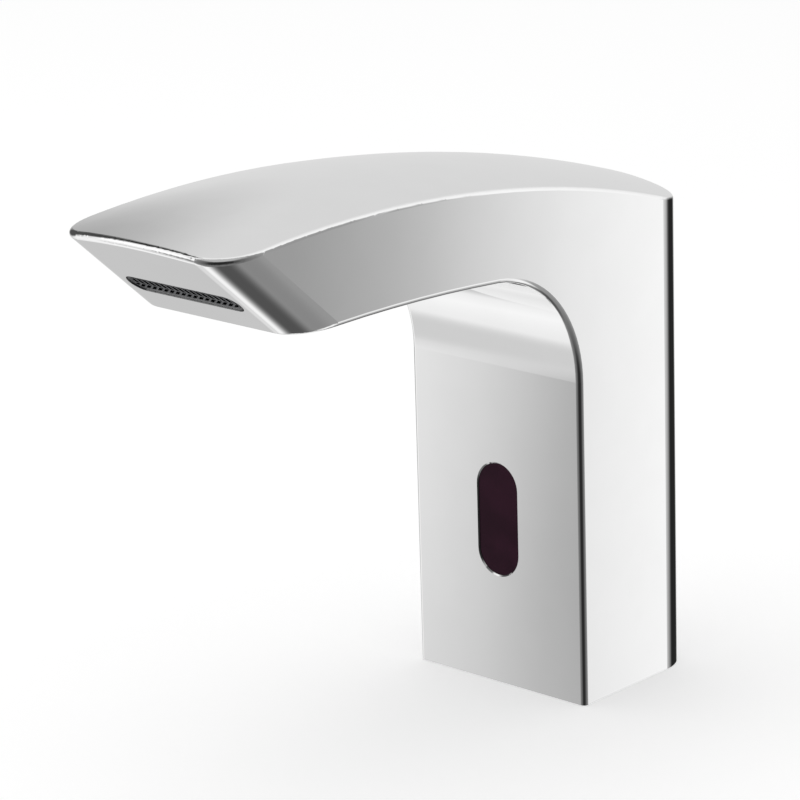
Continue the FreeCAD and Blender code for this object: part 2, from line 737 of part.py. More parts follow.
def make_inlet_filter():
    """Mesh cap over the inlet port: a rim under the seal, a drum with slits and a roof."""
    place = (valve_x, inlet_y)
    low = plate_thickness - filter_rim
    roof = filter_top - filter_wall
    hollow = drum_radius - filter_wall
    rim = cylinder("FilterRim", filter_radius, (low, plate_thickness), place)
    drum = cylinder("FilterDrum", drum_radius, (low, filter_top), place)
    room = cylinder("FilterRoom", hollow, (low - over, roof), place)
    slit_z = (plate_thickness + slit_width, roof - slit_width)
    reach = drum_radius + over
    tools = [room]
    for index in range(slit_rows):
        z = slit_z[0] + (slit_z[1] - slit_z[0]) * index / slit_rows
        span = (z, z + slit_width)
        tools.append(box(f"FilterSlitX{index}", (valve_x - reach, valve_x + reach),
                         (inlet_y - drum_radius / 2, inlet_y + drum_radius / 2), span))
    return node(cut("InletFilter", fuse("FilterCup", rim, drum), *tools), "inlet_filter")


filter_top = plate_thickness + filter_rise
slit_rows = 4


def make_inlet_seal():
    return node(ring("InletSeal", inlet_seal_radius, inlet_seal_radius - 1.4,
                     (plate_thickness, plate_thickness + 1.3), (valve_x, inlet_y)), "inlet_seal")


def make_valve_body():
    body = new_body("ValveBlock")
    low = (valve_x - valve_width / 2, valve_y - valve_width / 2)
    high = (valve_x + valve_width / 2, valve_y + valve_width / 2)
    plan = new_sketch(body, "XY_Plane", "ValvePlan", plate_thickness)
    rounded_rectangle(plan, (low[0], high[0]), (low[1], high[1]), valve_edge_radius)
    pad(body, plan, valve_height)
    annulus = new_sketch(body, "XY_Plane", "ValveChamber", valve_top)
    circle(annulus, valve_x, valve_y, chamber_radius)
    pocket(body, annulus, seat_drop)
    moat = new_sketch(body, "XY_Plane", "ValveMoat", seat_top)
    circle(moat, valve_x, valve_y, chamber_radius)
    circle(moat, valve_x, valve_y, seat_outer)
    pocket(body, moat, chamber_depth - seat_drop)
    seat = new_sketch(body, "XY_Plane", "SeatBore", seat_top)
    circle(seat, valve_x, valve_y, seat_inner)
    pocket(body, seat, seat_top - outlet_axis_z + 1)
    arm = box("ValveArm", (high[0] - 1, tube_side + tube_radius), (valve_y - 4, valve_y + 4),
              (plate_thickness, plate_thickness + 7))
    riser = cylinder("ValveRiser", tube_radius + 2, (plate_thickness, riser_top), (tube_side, valve_y))
    socket = cylinder("ValveSocket", tube_radius + fit_gap / 2, (tube_start, riser_top + 0.1),
                      (tube_side, valve_y))
    seal_room = cylinder("SealRoom", tube_radius + 1, (riser_top - 2.6, riser_top - 1.2),
                         (tube_side, valve_y))
    rise = cylinder("OutletRise", tube_bore, (outlet_axis_z, tube_start + 0.1), (tube_side, valve_y))
    cross = cylinder("OutletCross", tube_bore, (valve_x, tube_side), (valve_y, outlet_axis_z), "X")
    intake = fuse("IntakeSpace",
                  cylinder("IntakeBore", tube_bore, (plate_thickness, valve_top - chamber_depth + over),
                           (valve_x, inlet_y)),
                  cylinder("IntakeRoom", drum_radius + 2 * fit_gap, (plate_thickness, filter_top + 3 * fit_gap),
                           (valve_x, inlet_y)))
    seat_seal = cylinder("InletSealRoom", inlet_seal_radius, (plate_thickness - 0.1, plate_thickness + 1.3),
                         (valve_x, inlet_y))
    holes = [cylinder(f"ValveScrewHole{index}", screw_radius + slide_gap,
                      (plate_thickness - 0.1, valve_top + 0.1), place)
             for index, place in enumerate(valve_screw_places())]
    solid = fuse("ValveSolid", body, arm, riser)
    return node(cut("ValveBody", solid, socket, seal_room, rise, cross, intake, seat_seal, *holes), "valve_body")


outlet_axis_z = plate_thickness + 3.2
tube_start = plate_thickness + 8.5
riser_top = plate_thickness + 16


def make_tube_seal():
    return node(ring("TubeSeal", tube_radius + 1, tube_radius + fit_gap / 2,
                     (riser_top - 2.6, riser_top - 1.2), (tube_side, valve_y)), "tube_seal")


def make_valve_diaphragm():
    """Rubber diaphragm: a clamped rim, a rolled fold and a middle that lies on the seat."""
    body = new_body("ValveDiaphragm")
    section = new_sketch(body, "XZ_Plane", "DiaphragmSection")
    outer = chamber_radius + 1.2
    fold = chamber_radius - 0.2
    middle = seat_outer + 1.2
    outline(section, [
        (0.6, seat_top), (middle, seat_top), (fold, valve_top), (outer, valve_top),
        (outer, bonnet_bottom), (fold - 0.5, bonnet_bottom), (middle, rim_bottom), (0.6, rim_bottom)])
    turn = body.newObject("PartDesign::Revolution", "DiaphragmTurn")
    turn.Profile = section
    turn.ReferenceAxis = (section, ["V_Axis"])
    turn.Angle = 360
    move_to(body, valve_x, valve_y, as_size(0))
    return node(body, "valve_diaphragm")


def make_diaphragm_plate():
    """Moulded plate on the diaphragm, with the pilot nozzle in its middle."""
    place = (valve_x, valve_y)
    plate = cylinder("PilotPlate", seat_outer + 0.6, (rim_bottom, rim_bottom + 1.2), place)
    nozzle = cone("PilotNozzle", 1.9, 1.1, (rim_bottom + 1.2, pilot_top), place)
    stem = cylinder("PilotStem", 0.6, (seat_top, rim_bottom), place)
    bore = cylinder("PilotBore", 0.3, (seat_top - 0.1, pilot_top + 0.1), place)
    bleed = cylinder("BleedHole", 0.3, (rim_bottom - 0.1, rim_bottom + 1.3), (valve_x + seat_outer - 0.4, valve_y))
    return node(cut("DiaphragmPlate", fuse("PlateSolid", plate, nozzle, stem), bore, bleed), "diaphragm_plate")


def make_valve_bonnet():
    body = new_body("BonnetBlock")
    low = (valve_x - valve_width / 2, valve_y - valve_width / 2)
    high = (valve_x + valve_width / 2, valve_y + valve_width / 2)
    # the bonnet's skirt reaches down round the diaphragm's rim
    plan = new_sketch(body, "XY_Plane", "BonnetPlan", valve_top)
    rounded_rectangle(plan, (low[0], high[0]), (low[1], high[1]), valve_edge_radius)
    pad(body, plan, rim_thickness + bonnet_height)
    skirt = cylinder("BonnetRimRoom", chamber_radius + 1.3, (valve_top - 0.1, bonnet_bottom),
                     (valve_x, valve_y))
    chamber = cylinder("BonnetChamber", chamber_radius - 0.8, (valve_top - 0.1, bonnet_top - 2.2),
                       (valve_x, valve_y))
    throat = cylinder("BonnetThroat", sleeve_outer + fit_gap, (bonnet_top - 3, bonnet_top + 0.1),
                      (valve_x, valve_y))
    holes = [cylinder(f"BonnetScrewHole{index}", screw_radius + slide_gap,
                      (valve_top - 0.1, bonnet_top + 0.1), place)
             for index, place in enumerate(valve_screw_places())]
    sunk = [cylinder(f"BonnetHeadRoom{index}", head_radius + fit_gap,
                     (bonnet_top - head_height - 0.1, bonnet_top + 0.1), place)
            for index, place in enumerate(valve_screw_places())]
    return node(cut("ValveBonnet", body, skirt, chamber, throat, *holes, *sunk), "valve_bonnet")


def make_valve_screws():
    low = plate_thickness - 4.5
    screws = [pan_screw(f"ValveScrew{index}", place, (low, bonnet_top - 0.1))
              for index, place in enumerate(valve_screw_places())]
    return node(group("ValveScrews", *screws), "valve_screws")


# ---------------------------------------------------------------- the solenoid

def make_core_tube():
    """Stainless sleeve: a flange under the bonnet's throat and a thin tube round the plunger."""
    place = (valve_x, valve_y)
    bottom = bonnet_top - 3.2
    tube = cylinder("SleeveTube", sleeve_outer, (bottom, core_top - 0.5), place)
    flange = cylinder("SleeveFlange", sleeve_outer + 1.2, (bottom, bonnet_top - 2.3), place)
    bore = cylinder("SleeveBore", sleeve_inner, (bottom - 0.1, core_top), place)
    return node(cut("CoreTube", fuse("SleeveSolid", tube, flange), bore), "core_tube")


def make_fixed_core():
    """Pole piece in the top of the sleeve, with a threaded end for the coil nut."""
    place = (valve_x, valve_y)
    core = cylinder("CoreSolid", sleeve_inner - slide_gap / 2, (core_bottom, core_top), place)
    stud = cylinder("CoreStud", 2.0, (core_top, yoke_top + yoke_thickness + magnet_height + nut_height), place)
    spring_seat = cylinder("SpringSeat", 1.1, (core_bottom - 1.2, core_bottom), place)
    return node(fuse("FixedCore", core, stud, spring_seat), "fixed_core")


spring_radius = plunger_radius - 1.6
spring_low = plunger_bottom + 7.5


def make_solenoid_plunger():
    place = (valve_x, valve_y)
    rod = cylinder("PlungerRod", plunger_radius, (plunger_bottom, plunger_top), place)
    pocket_bore = cylinder("PlungerSpringRoom", spring_radius + 0.6, (spring_low, plunger_top + 0.1), place)
    tip_room = cylinder("PlungerTipRoom", plunger_radius - 1.6, (plunger_bottom - 0.1, plunger_bottom + 1.8), place)
    vents = [box(f"PlungerVent{index}", x, y, (plunger_bottom - 0.1, plunger_top + 0.1))
             for index, (x, y) in enumerate((
                 ((valve_x - plunger_radius - 1, valve_x - plunger_radius + 0.5), (valve_y - 0.4, valve_y + 0.4)),
                 ((valve_x + plunger_radius - 0.5, valve_x + plunger_radius + 1), (valve_y - 0.4, valve_y + 0.4))))]
    return node(cut("SolenoidPlunger", rod, pocket_bore, tip_room, *vents), "solenoid_plunger")


def make_plunger_seal():
    return node(cylinder("PlungerSeal", plunger_radius - 1.6, (pilot_top, plunger_bottom + 1.8),
                         (valve_x, valve_y)), "plunger_seal")


def make_plunger_spring():
    """Round-wire spring between the plunger and the fixed core."""
    helix = doc.addObject("Part::Helix", "SpringLine")
    height = core_bottom - spring_low - spring_wire * 2
    bind(helix, "Pitch", height / spring_turns)
    bind(helix, "Height", height)
    bind(helix, "Radius", spring_radius - spring_wire)
    move_to(helix, valve_x, valve_y, spring_low + spring_wire)
    wire = doc.addObject("Part::Circle", "SpringWire")
    bind(wire, "Radius", spring_wire)
    wire.Placement = FreeCAD.Placement(Vector(), Rotation(Vector(1, 0, 0), 90))
    move_to(wire, valve_x + spring_radius - spring_wire, valve_y, spring_low + spring_wire)
    spring = doc.addObject("Part::Sweep", "PlungerSpring")
    spring.Sections = [wire]
    spring.Spine = (helix, ["Edge1"])
    spring.Solid = True
    spring.Frenet = True
    doc.recompute()
    return node(spring, "plunger_spring")


yoke_bottom = bonnet_top


def make_coil_bobbin():
    place = (valve_x, valve_y)
    low = yoke_bottom + yoke_thickness + 0.1
    high = yoke_top - 0.1
    tube = cylinder("BobbinTube", sleeve_outer + fit_gap + bobbin_wall, (low, high), place)
    lower = cylinder("BobbinLower", coil_radius + 0.4, (low, low + bobbin_wall), place)
    upper = cylinder("BobbinUpper", coil_radius + 0.4, (high - bobbin_wall, high), place)
    bore = cylinder("BobbinBore", sleeve_outer + fit_gap, (low - 0.1, high + 0.1), place)
    return node(cut("CoilBobbin", fuse("BobbinSolid", tube, lower, upper), bore), "coil_bobbin")


def make_coil_winding():
    low = yoke_bottom + yoke_thickness + 0.1 + bobbin_wall
    high = yoke_top - 0.1 - bobbin_wall
    return node(ring("CoilWinding", coil_radius, sleeve_outer + fit_gap + bobbin_wall, (low, high),
                     (valve_x, valve_y)), "coil_winding")


def make_coil_yoke():
    """Sheet-steel bracket bent round the coil: foot, back and roof in one strip."""
    body = new_body("YokeStrip")
    strip = new_sketch(body, "YZ_Plane", "YokeSection")
    front = valve_y - yoke_width / 2
    back = valve_y + yoke_width / 2
    top = yoke_top + yoke_thickness
    outline(strip, [
        (front, yoke_bottom), (back - 2, yoke_bottom, 2), (back, yoke_bottom + 2), (back, top - 2, 2),
        (back - 2, top), (front, top), (front, yoke_top), (back - 2, yoke_top, yoke_thickness - 2),
        (back - yoke_thickness, yoke_top - 2 + yoke_thickness),
        (back - yoke_thickness, yoke_bottom + 2, yoke_thickness - 2),
        (back - 2, yoke_bottom + yoke_thickness), (front, yoke_bottom + yoke_thickness)])
    pad(body, strip, yoke_width, symmetric=True)
    bind(body, "Placement.Base.x", valve_x)
    lower = cylinder("YokeLowerHole", sleeve_outer + fit_gap, (yoke_bottom - 0.1, yoke_bottom + yoke_thickness + 0.1),
                     (valve_x, valve_y))
    upper = cylinder("YokeUpperHole", 2.0 + slide_gap, (yoke_top - 0.1, top + 0.1), (valve_x, valve_y))
    return node(cut("CoilYoke", body, lower, upper), "coil_yoke")


def make_latch_magnet():
    low = yoke_top + yoke_thickness
    return node(ring("LatchMagnet", 5.0, 2.0 + slide_gap, (low, low + magnet_height), (valve_x, valve_y)),
                "latch_magnet")


def make_coil_nut():
    low = yoke_top + yoke_thickness + magnet_height
    nut = hexagon("NutSolid", nut_radius, (low, low + nut_height), (valve_x, valve_y))
    bore = cylinder("NutBore", 2.0 + slide_gap, (low - 0.1, low + nut_height + 0.1), (valve_x, valve_y))
    return node(cut("CoilNut", nut, bore), "coil_nut")


# ---------------------------------------------------------------- the sensor

def make_sensor_window():
    body = new_body("SensorWindow")
    face = new_sketch(body, "XZ_Plane", "WindowFace", half_depth - window_recess)
    obround(face, as_size(0), window_height, window_width - 2 * fit_gap, window_length - 2 * fit_gap, upright=True)
    pad(body, face, window_back - flange_thickness + half_depth - window_recess, reverse=True)
    flange = new_sketch(body, "XZ_Plane", "WindowFlange", flange_thickness - window_back)
    obround(flange, as_size(0), window_height, window_width + 2 * window_flange,
            window_length + 2 * window_flange, upright=True)
    pad(body, flange, flange_thickness, reverse=True)
    return node(body, "sensor_window")


def make_window_gasket():
    body = new_body("WindowGasket")
    track = new_sketch(body, "XZ_Plane", "GasketTrack", -inner_front)
    obround(track, as_size(0), window_height, window_width + 2 * window_flange,
            window_length + 2 * window_flange, upright=True)
    obround(track, as_size(0), window_height, window_width + 0.4, window_length + 0.4, upright=True)
    pad(body, track, gasket_thickness, reverse=True)
    return node(body, "window_gasket")


sensor_screw_x = housing_width / 2 + 2.6


def make_sensor_housing():
    """Black moulded box: a front plate with the window's opening, a baffle and two screw ears."""
    body = new_body("SensorHousing")
    low = window_height - housing_length / 2
    high = window_height + housing_length / 2
    half = housing_width / 2
    outer = new_sketch(body, "XZ_Plane", "HousingOutline", -window_back)
    rounded_rectangle(outer, (-half, half), (low, high), housing_wall * 2)
    pad(body, outer, housing_depth, reverse=True)
    inside = new_sketch(body, "XZ_Plane", "HousingInside", -window_back - housing_wall)
    rectangle(inside, (housing_wall - half, half - housing_wall), (low + housing_wall, high - housing_wall))
    pocket(body, inside, housing_depth - housing_wall, reverse=False)
    view = new_sketch(body, "XZ_Plane", "HousingView", -window_back)
    obround(view, as_size(0), window_height, window_width - 0.4, window_length - 0.4, upright=True)
    pocket(body, view, housing_wall, reverse=False)
    ears = new_sketch(body, "XZ_Plane", "HousingEars", ear_thickness - frame_front)
    inner_x = half - housing_wall / 2
    outer_x = sensor_screw_x + ear_reach
    ear_z = (window_height - ear_half_height, window_height + ear_half_height)
    rectangle(ears, (inner_x, outer_x), ear_z)
    rectangle(ears, (-outer_x, -inner_x), ear_z)
    pad(body, ears, ear_thickness, reverse=True)
    holes = new_sketch(body, "XZ_Plane", "EarHoles", ear_thickness - frame_front)
    for sign in (-1, 1):
        circle(holes, sensor_screw_x * sign, window_height, ear_screw_radius + slide_gap)
    pocket(body, holes, ear_thickness)
    middle = half - housing_wall
    baffle = box("HousingBaffle", (-middle, middle), (window_back, board_front - fit_gap),
                 (window_height + baffle_rise, window_height + baffle_rise + baffle_thickness))
    return node(fuse("SensorHousingSolid", body, baffle), "sensor_housing")


def make_sensor_screws():
    screws = []
    for index, sign in enumerate((-1, 1)):
        place = (sensor_screw_x * sign, window_height)
        seat = frame_front - ear_thickness
        shank = cylinder(f"SensorScrewShank{index}", ear_screw_radius, (seat, frame_back), place, "Y")
        head = cylinder(f"SensorScrewHead{index}", ear_head_radius, (seat - ear_head_height, seat), place, "Y")
        screws.append(fuse(f"SensorScrew{index}", shank, head))
    return node(group("SensorScrews", *screws), "sensor_screws")


def make_sensor_board():
    half = housing_width / 2 - housing_wall - fit_gap
    reach = housing_length / 2 - housing_wall - fit_gap
    return node(box("SensorBoard", (-half, half), (board_front, board_back),
                    (window_height - reach, window_height + reach)), "sensor_board")


def make_infrared_lamp(name, label, z):
    """Small lamp with a domed lens, facing the window."""
    tip = board_front - 2.4
    stem = cylinder(name + "Stem", lens_radius, (tip, board_front), (as_size(0), z), "Y")
    flange = cylinder(name + "Flange", lens_radius + 0.3, (board_front - 0.6, board_front), (as_size(0), z), "Y")
    dome = doc.addObject("Part::Sphere", name + "Dome")
    bind(dome, "Radius", lens_radius)
    move_to(dome, as_size(0), tip, z)
    return node(fuse(name, stem, flange, dome), label)


def make_board_parts():
    """What is soldered on the board: the lamp in front, the rest behind."""
    z = window_height
    node(box("StatusLamp", (as_size(-1.0), as_size(1.0)), (board_front - 0.9, board_front), (z - 0.7, z + 0.7)),
         "status_lamp")
    node(box("ControlChip", (as_size(-2.5), as_size(2.5)), (board_back, board_back + 1.4), (z - 6.5, z - 1.5)),
         "control_chip")
    node(cylinder("BoardCapacitor", as_size(2.0), (board_back, board_back + 4.0), (as_size(-3.5), z + 5.5), "Y"),
         "board_capacitor")
    sockets = [box(f"BoardSocket{index}", (x - 2.5, x + 2.5), (board_back, board_back + socket_depth),
                   (height - 1.6, height + 1.6))
               for index, (x, height) in enumerate(((coil_plug[0], coil_plug[1]), (battery_plug[0], battery_plug[1])))]
    node(group("BoardSockets", *sockets), "board_sockets")


coil_plug = (as_size(3.0), window_height - 9)
battery_plug = (as_size(3.0), window_height + 12)


# ---------------------------------------------------------------- the frame and the battery

def make_inner_frame():
    """One moulding: a front wall, two side cheeks, a shelf for the battery and two screw feet."""
    body = new_body("InnerFrame")
    cheek_back = frame_front + cheek_depth
    inside = frame_half - frame_wall
    shelf_top = shelf_height + frame_wall
    walls = new_sketch(body, "XY_Plane", "FrameWalls", plate_thickness)
    outline(walls, [
        (-frame_half, frame_front), (frame_half, frame_front), (frame_half, cheek_back), (inside, cheek_back),
        (inside, frame_back), (-inside, frame_back), (-inside, cheek_back), (-frame_half, cheek_back)])
    pad(body, walls, shelf_top - plate_thickness)
    shelf = new_sketch(body, "XY_Plane", "FrameShelf", shelf_height)
    rectangle(shelf, (-frame_half, frame_half), (inner_front + 0.4, cheek_back))
    pad(body, shelf, frame_wall)
    feet = new_sketch(body, "XY_Plane", "FrameFeet", plate_thickness)
    for sign in (-1, 1):
        x = frame_screw_x * sign
        rectangle(feet, (x - 3, x + 3), (frame_screw_y - 3, frame_front + 0.5))
    pad(body, feet, 7)
    pilot = new_sketch(body, "XY_Plane", "FramePilots", plate_thickness)
    for sign in (-1, 1):
        circle(pilot, frame_screw_x * sign, frame_screw_y, screw_radius)
    pocket(body, pilot, 6, reverse=True)
    opening = new_sketch(body, "XZ_Plane", "FrameOpening", -frame_front)
    rounded_rectangle(opening, (-frame_opening_half, frame_opening_half),
                      (window_height - 14, window_height + 14), as_size(2))
    pocket(body, opening, frame_wall, reverse=False)
    pilots = new_sketch(body, "XZ_Plane", "EarPilots", -frame_front)
    for sign in (-1, 1):
        circle(pilots, sensor_screw_x * sign, window_height, ear_screw_radius)
    pocket(body, pilots, frame_wall, reverse=False)
    cheeks = new_sketch(body, "YZ_Plane", "CheekWindows")
    rounded_rectangle(cheeks, (frame_back + 2.5, cheek_back - 2.5), (plate_thickness + 8, shelf_height - 6),
                      as_size(2))
    pocket(body, cheeks, body_width, symmetric=True)
    lead_hole = cylinder("ShelfLeadHole", as_size(2.4), (shelf_height - 0.1, shelf_top + 0.1),
                         (battery_plug[0] + 8, lead_y))
    return node(cut("InnerFrameCut", body, lead_hole), "inner_frame")


frame_opening_half = as_size(7.0)
lead_y = frame_back + 2.6


def make_frame_screws():
    screws = [pan_screw(f"FrameScrew{index}", (frame_screw_x * sign, frame_screw_y),
                        (0.2, plate_thickness + 5), head_below=True)
              for index, sign in enumerate((-1, 1))]
    return node(group("FrameScrews", *screws), "frame_screws")


def battery_box(inset):
    half = battery_width / 2 - inset
    return (-half, half), (battery_front + inset, battery_front + battery_depth - inset)


def make_battery_cradle():
    body = new_body("BatteryCradle")
    outside = new_sketch(body, "XY_Plane", "CradleOutside", shelf_height + frame_wall)
    grow = -(cradle_wall + fit_gap)
    rounded_rectangle(outside, *battery_box(grow), battery_edge + cradle_wall + fit_gap)
    pad(body, outside, cradle_height)
    inside = new_sketch(body, "XY_Plane", "CradleInside", shelf_height + frame_wall + cradle_height)
    rounded_rectangle(inside, *battery_box(-fit_gap), battery_edge + fit_gap)
    pocket(body, inside, cradle_height - cradle_wall)
    slot = new_sketch(body, "XZ_Plane", "CradleThumbSlot", as_size(0))
    rounded_rectangle(slot, (as_size(-7), as_size(7)),
                      (cradle_floor + 8, shelf_height + frame_wall + cradle_height + 6), as_size(3))
    pocket(body, slot, 60, symmetric=True)
    lead_room = cylinder("CradleLeadHole", as_size(2.4), (shelf_height, cradle_floor + 0.1),
                         (battery_plug[0] + 8, lead_y))
    return node(cut("BatteryCradleCut", body, lead_room), "battery_cradle")


def make_battery_block():
    body = new_body("BatteryBlock")
    low = cradle_floor + contact_height
    plan = new_sketch(body, "XY_Plane", "BatteryPlan", low)
    rounded_rectangle(plan, *battery_box(as_size(0)), battery_edge)
    pad(body, plan, battery_height)
    # the two cells show as a shallow waist down both faces
    waist = new_sketch(body, "XY_Plane", "BatteryWaist", low + battery_height)
    middle = battery_front + battery_depth / 2
    for sign in (-1, 1):
        edge = middle + battery_depth / 2 * sign
        outline(waist, [(as_size(-3), edge), (as_size(0), edge - 1.6 * sign), (as_size(3), edge)][::sign])
    pocket(body, waist, battery_height - 3)
    return node(body, "battery_block")


def make_battery_contacts():
    """Two bent leaves on the cradle's floor."""
    leaves = []
    for index, sign in enumerate((-1, 1)):
        x = 9.0 * sign
        y = battery_front + battery_depth / 2
        leaf = box(f"ContactLeaf{index}", (as_size(x - 2), as_size(x + 2)), (y - 6, y + 3),
                   (cradle_floor, cradle_floor + 0.3))
        bump = cylinder(f"ContactBump{index}", contact_height, (as_size(x - 1.5), as_size(x + 1.5)),
                        (y - 2, cradle_floor), "X")
        trim = box(f"ContactTrim{index}", (as_size(x - 3), as_size(x + 3)), (y - 7, y + 4),
                   (cradle_floor - 2, cradle_floor))
        leaves.append(cut(f"Contact{index}", fuse(f"ContactSolid{index}", leaf, bump), trim))
    return node(group("BatteryContacts", *leaves), "battery_contacts")


# ---------------------------------------------------------------- the outlet and the water tube

def outlet_body(name):
    """A body whose own XY plane is the outlet face and whose origin is the slot's middle."""
    body = new_body(name)
    body.Placement = FreeCAD.Placement(Vector(), Rotation(Vector(1, 0, 0), 180 - outlet_angle.value))
    bind(body, "Placement.Rotation.Angle", 180 - outlet_angle)
    bind(body, "Placement.Base.y", slot_centre[0])
    bind(body, "Placement.Base.z", slot_centre[1])
    return body


nose_length = slot_length - 2 * fit_gap
nose_width = slot_width - 2 * fit_gap
nozzle_flange = as_size(2.0)


def make_outlet_gasket():
    body = outlet_body("OutletGasket")
    track = new_sketch(body, "XY_Plane", "OutletGasketTrack", -end_wall)
    obround(track, as_size(0), as_size(0), slot_width + 2 * nozzle_flange, slot_length + 2 * nozzle_flange,
            upright=False)
    obround(track, as_size(0), as_size(0), slot_width + 0.2, slot_length + 0.2, upright=False)
    pad(body, track, 1.0, reverse=True)
    return node(body, "outlet_gasket")


def make_outlet_nozzle():
    """Moulded nozzle: a nose in the slot, a flange behind the wall, a chamber and a spigot."""
    body = outlet_body("NozzleBody")
    nose = new_sketch(body, "XY_Plane", "NozzleNose", as_size(-0.3))
    obround(nose, as_size(0), as_size(0), nose_width, nose_length, upright=False)
    pad(body, nose, nozzle_depth - 0.3, reverse=True)
    flange = new_sketch(body, "XY_Plane", "NozzleFlange", -end_wall - 1.0)
    obround(flange, as_size(0), as_size(0), slot_width + 2 * nozzle_flange, slot_length + 2 * nozzle_flange,
            upright=False)
    pad(body, flange, nozzle_depth - end_wall - 1.0, reverse=True)
    passage = new_sketch(body, "XY_Plane", "NozzlePassage", as_size(-0.3))
    obround(passage, as_size(0), as_size(0), nose_width - 2 * nozzle_wall, nose_length - 2 * nozzle_wall,
            upright=False)
    pocket(body, passage, nozzle_depth - 0.3 - nozzle_wall * 1.5)
    line = (as_size(0), spigot_height)
    spigot_end = tube_front + spigot_length
    spigot = cylinder("NozzleSpigot", tube_bore - slide_gap, (nozzle_back - 1.8, spigot_end), line, "Y")
    collar = cylinder("NozzleCollar", tube_radius - 0.3, (nozzle_back - 1.8, tube_front), line, "Y")
    bore = cylinder("NozzleBore", tube_bore - nozzle_wall, (nozzle_back - 3.5, spigot_end + over), line, "Y")
    return node(cut("OutletNozzle", fuse("NozzleSolid", body, spigot, collar), bore), "outlet_nozzle")


nozzle_back = slot_centre[0] - nozzle_depth * face_out[0] - slot_width / 2 * face_up[0]
tube_front = nozzle_back + 2.6


def make_outlet_strainer():
    """Stainless strainer in the nozzle's mouth: two rows of slanted slits."""
    body = outlet_body("StrainerSheet")
    gap = nozzle_wall + fit_gap / 2
    length = nose_length - 2 * gap
    width = nose_width - 2 * gap
    sheet_outline = new_sketch(body, "XY_Plane", "StrainerOutline", -strainer_recess)
    obround(sheet_outline, as_size(0), as_size(0), width, length, upright=False)
    pad(body, sheet_outline, strainer_thickness, reverse=True)
    slits = new_sketch(body, "XY_Plane", "StrainerSlits", -strainer_recess)
    pitch = length / (slit_count + 3)
    bar = 0.2
    for row in (0, 1):
        low = (row - 1) * (width / 2 - bar) + bar * (row - 0.5)
        high = low + width / 2 - bar * 1.5
        lean = pitch * 0.8
        for index in range(slit_count):
            x = pitch * (index - slit_count / 2)
            left = x + lean * (row - 0.5)
            outline(slits, [(left, low), (left + pitch - 2 * bar, low),
                            (left + lean + pitch - 2 * bar, high), (left + lean, high)])
    pocket(body, slits, strainer_thickness)
    return node(body, "outlet_strainer")


slit_count = 18


def rounded_route(points):
    """Straight runs joined by tangent arcs: each arc takes 0.45 of the shorter run beside it."""
    edges = []
    radii = []
    start = points[0]
    for before, corner, after in zip(points, points[1:], points[2:]):
        into = corner - before
        out = after - corner
        half_turn = into.getAngle(out) / 2
        take = 0.45 * min(into.Length, out.Length)
        radius = take / math.tan(half_turn)
        radii.append(radius)
        arc_start = corner - into.normalize() * take
        arc_end = corner + out.normalize() * take
        inward = ((arc_start + arc_end) * 0.5 - corner).normalize()
        middle = corner + inward * radius * (1 / math.cos(half_turn) - 1)
        edges.append(Part.LineSegment(start, arc_start).toShape())
        edges.append(Part.Arc(arc_start, middle, arc_end).toShape())
        start = arc_end
    edges.append(Part.LineSegment(start, points[-1]).toShape())
    return Part.Wire(edges), radii


def swept_round(wire, radius):
    start = wire.OrderedEdges[0].firstVertex(True).Point
    direction = wire.OrderedEdges[0].tangentAt(wire.OrderedEdges[0].FirstParameter)
    section = Part.Wire([Part.makeCircle(radius, start, direction)])
    return wire.makePipeShell([section], True, False)


def place(x, y, z):
    return Vector(as_size(x).value, as_size(y).value, as_size(z).value)


def make_water_tube():
    """Tube from the valve's socket up behind the battery and forward to the nozzle."""
    rear = tube_y
    top_turn = cradle_floor + contact_height + battery_height + 4.2
    route = [
        place(tube_side, valve_y, tube_start),
        place(tube_side, valve_y, riser_top + 5),
        place(tube_side, rear, shelf_height - 6),
        place(tube_side, rear, top_turn),
        place(tube_side * 0.6, -half_depth * 0.4, top_turn + 11),
        place(0, -half_depth * 2.2, spigot_height),
        place(0, tube_front, spigot_height),
    ]
    wire, radii = rounded_route(route)
    tube = doc.addObject("Part::Feature", "WaterTube")
    tube.Shape = swept_round(wire, tube_radius.value).cut(swept_round(wire, tube_bore.value))
    section = math.pi * (tube_radius.value ** 2 - tube_bore.value ** 2)
    print("water_tube bend radii", [round(radius, 1) for radius in radii],
          "volume share", round(tube.Shape.Volume / (section * wire.Length), 4))
    return node(tube, "water_tube")


def make_lead(name, label, route):
    """Twin lead: two insulated wires side by side along one route."""
    wires = []
    for index, sign in enumerate((-1, 1)):
        shift = Vector(sign * (lead_radius.value + 0.05), 0, 0)
        wire, radii = rounded_route([spot + shift for spot in route])
        strand = doc.addObject("Part::Feature", f"{name}Wire{index}")
        strand.Shape = swept_round(wire, lead_radius.value)
        wires.append(strand)
    print(label, "bend radii", [round(radius, 1) for radius in radii])
    return node(group(name, *wires), label)


def make_leads():
    plug_y = board_back + socket_depth
    free_y = plug_y + plug_run
    coil_end = place(valve_x + 4.5, valve_y - 7.45, yoke_bottom + 5.5)
    make_lead("CoilLead", "coil_lead", [
        place(coil_plug[0], plug_y, coil_plug[1]),
        place(coil_plug[0], free_y, coil_plug[1]),
        coil_end - Vector(0, plug_run.value, 0),
        coil_end,
    ])
    make_lead("BatteryLead", "battery_lead", [
        place(battery_plug[0], plug_y, battery_plug[1]),
        place(battery_plug[0], free_y, battery_plug[1]),
        place(battery_plug[0] + 8, lead_y, battery_plug[1] + 0.5),
        place(battery_plug[0] + 8, lead_y, cradle_floor),
    ])


# ---------------------------------------------------------------- build, test and write

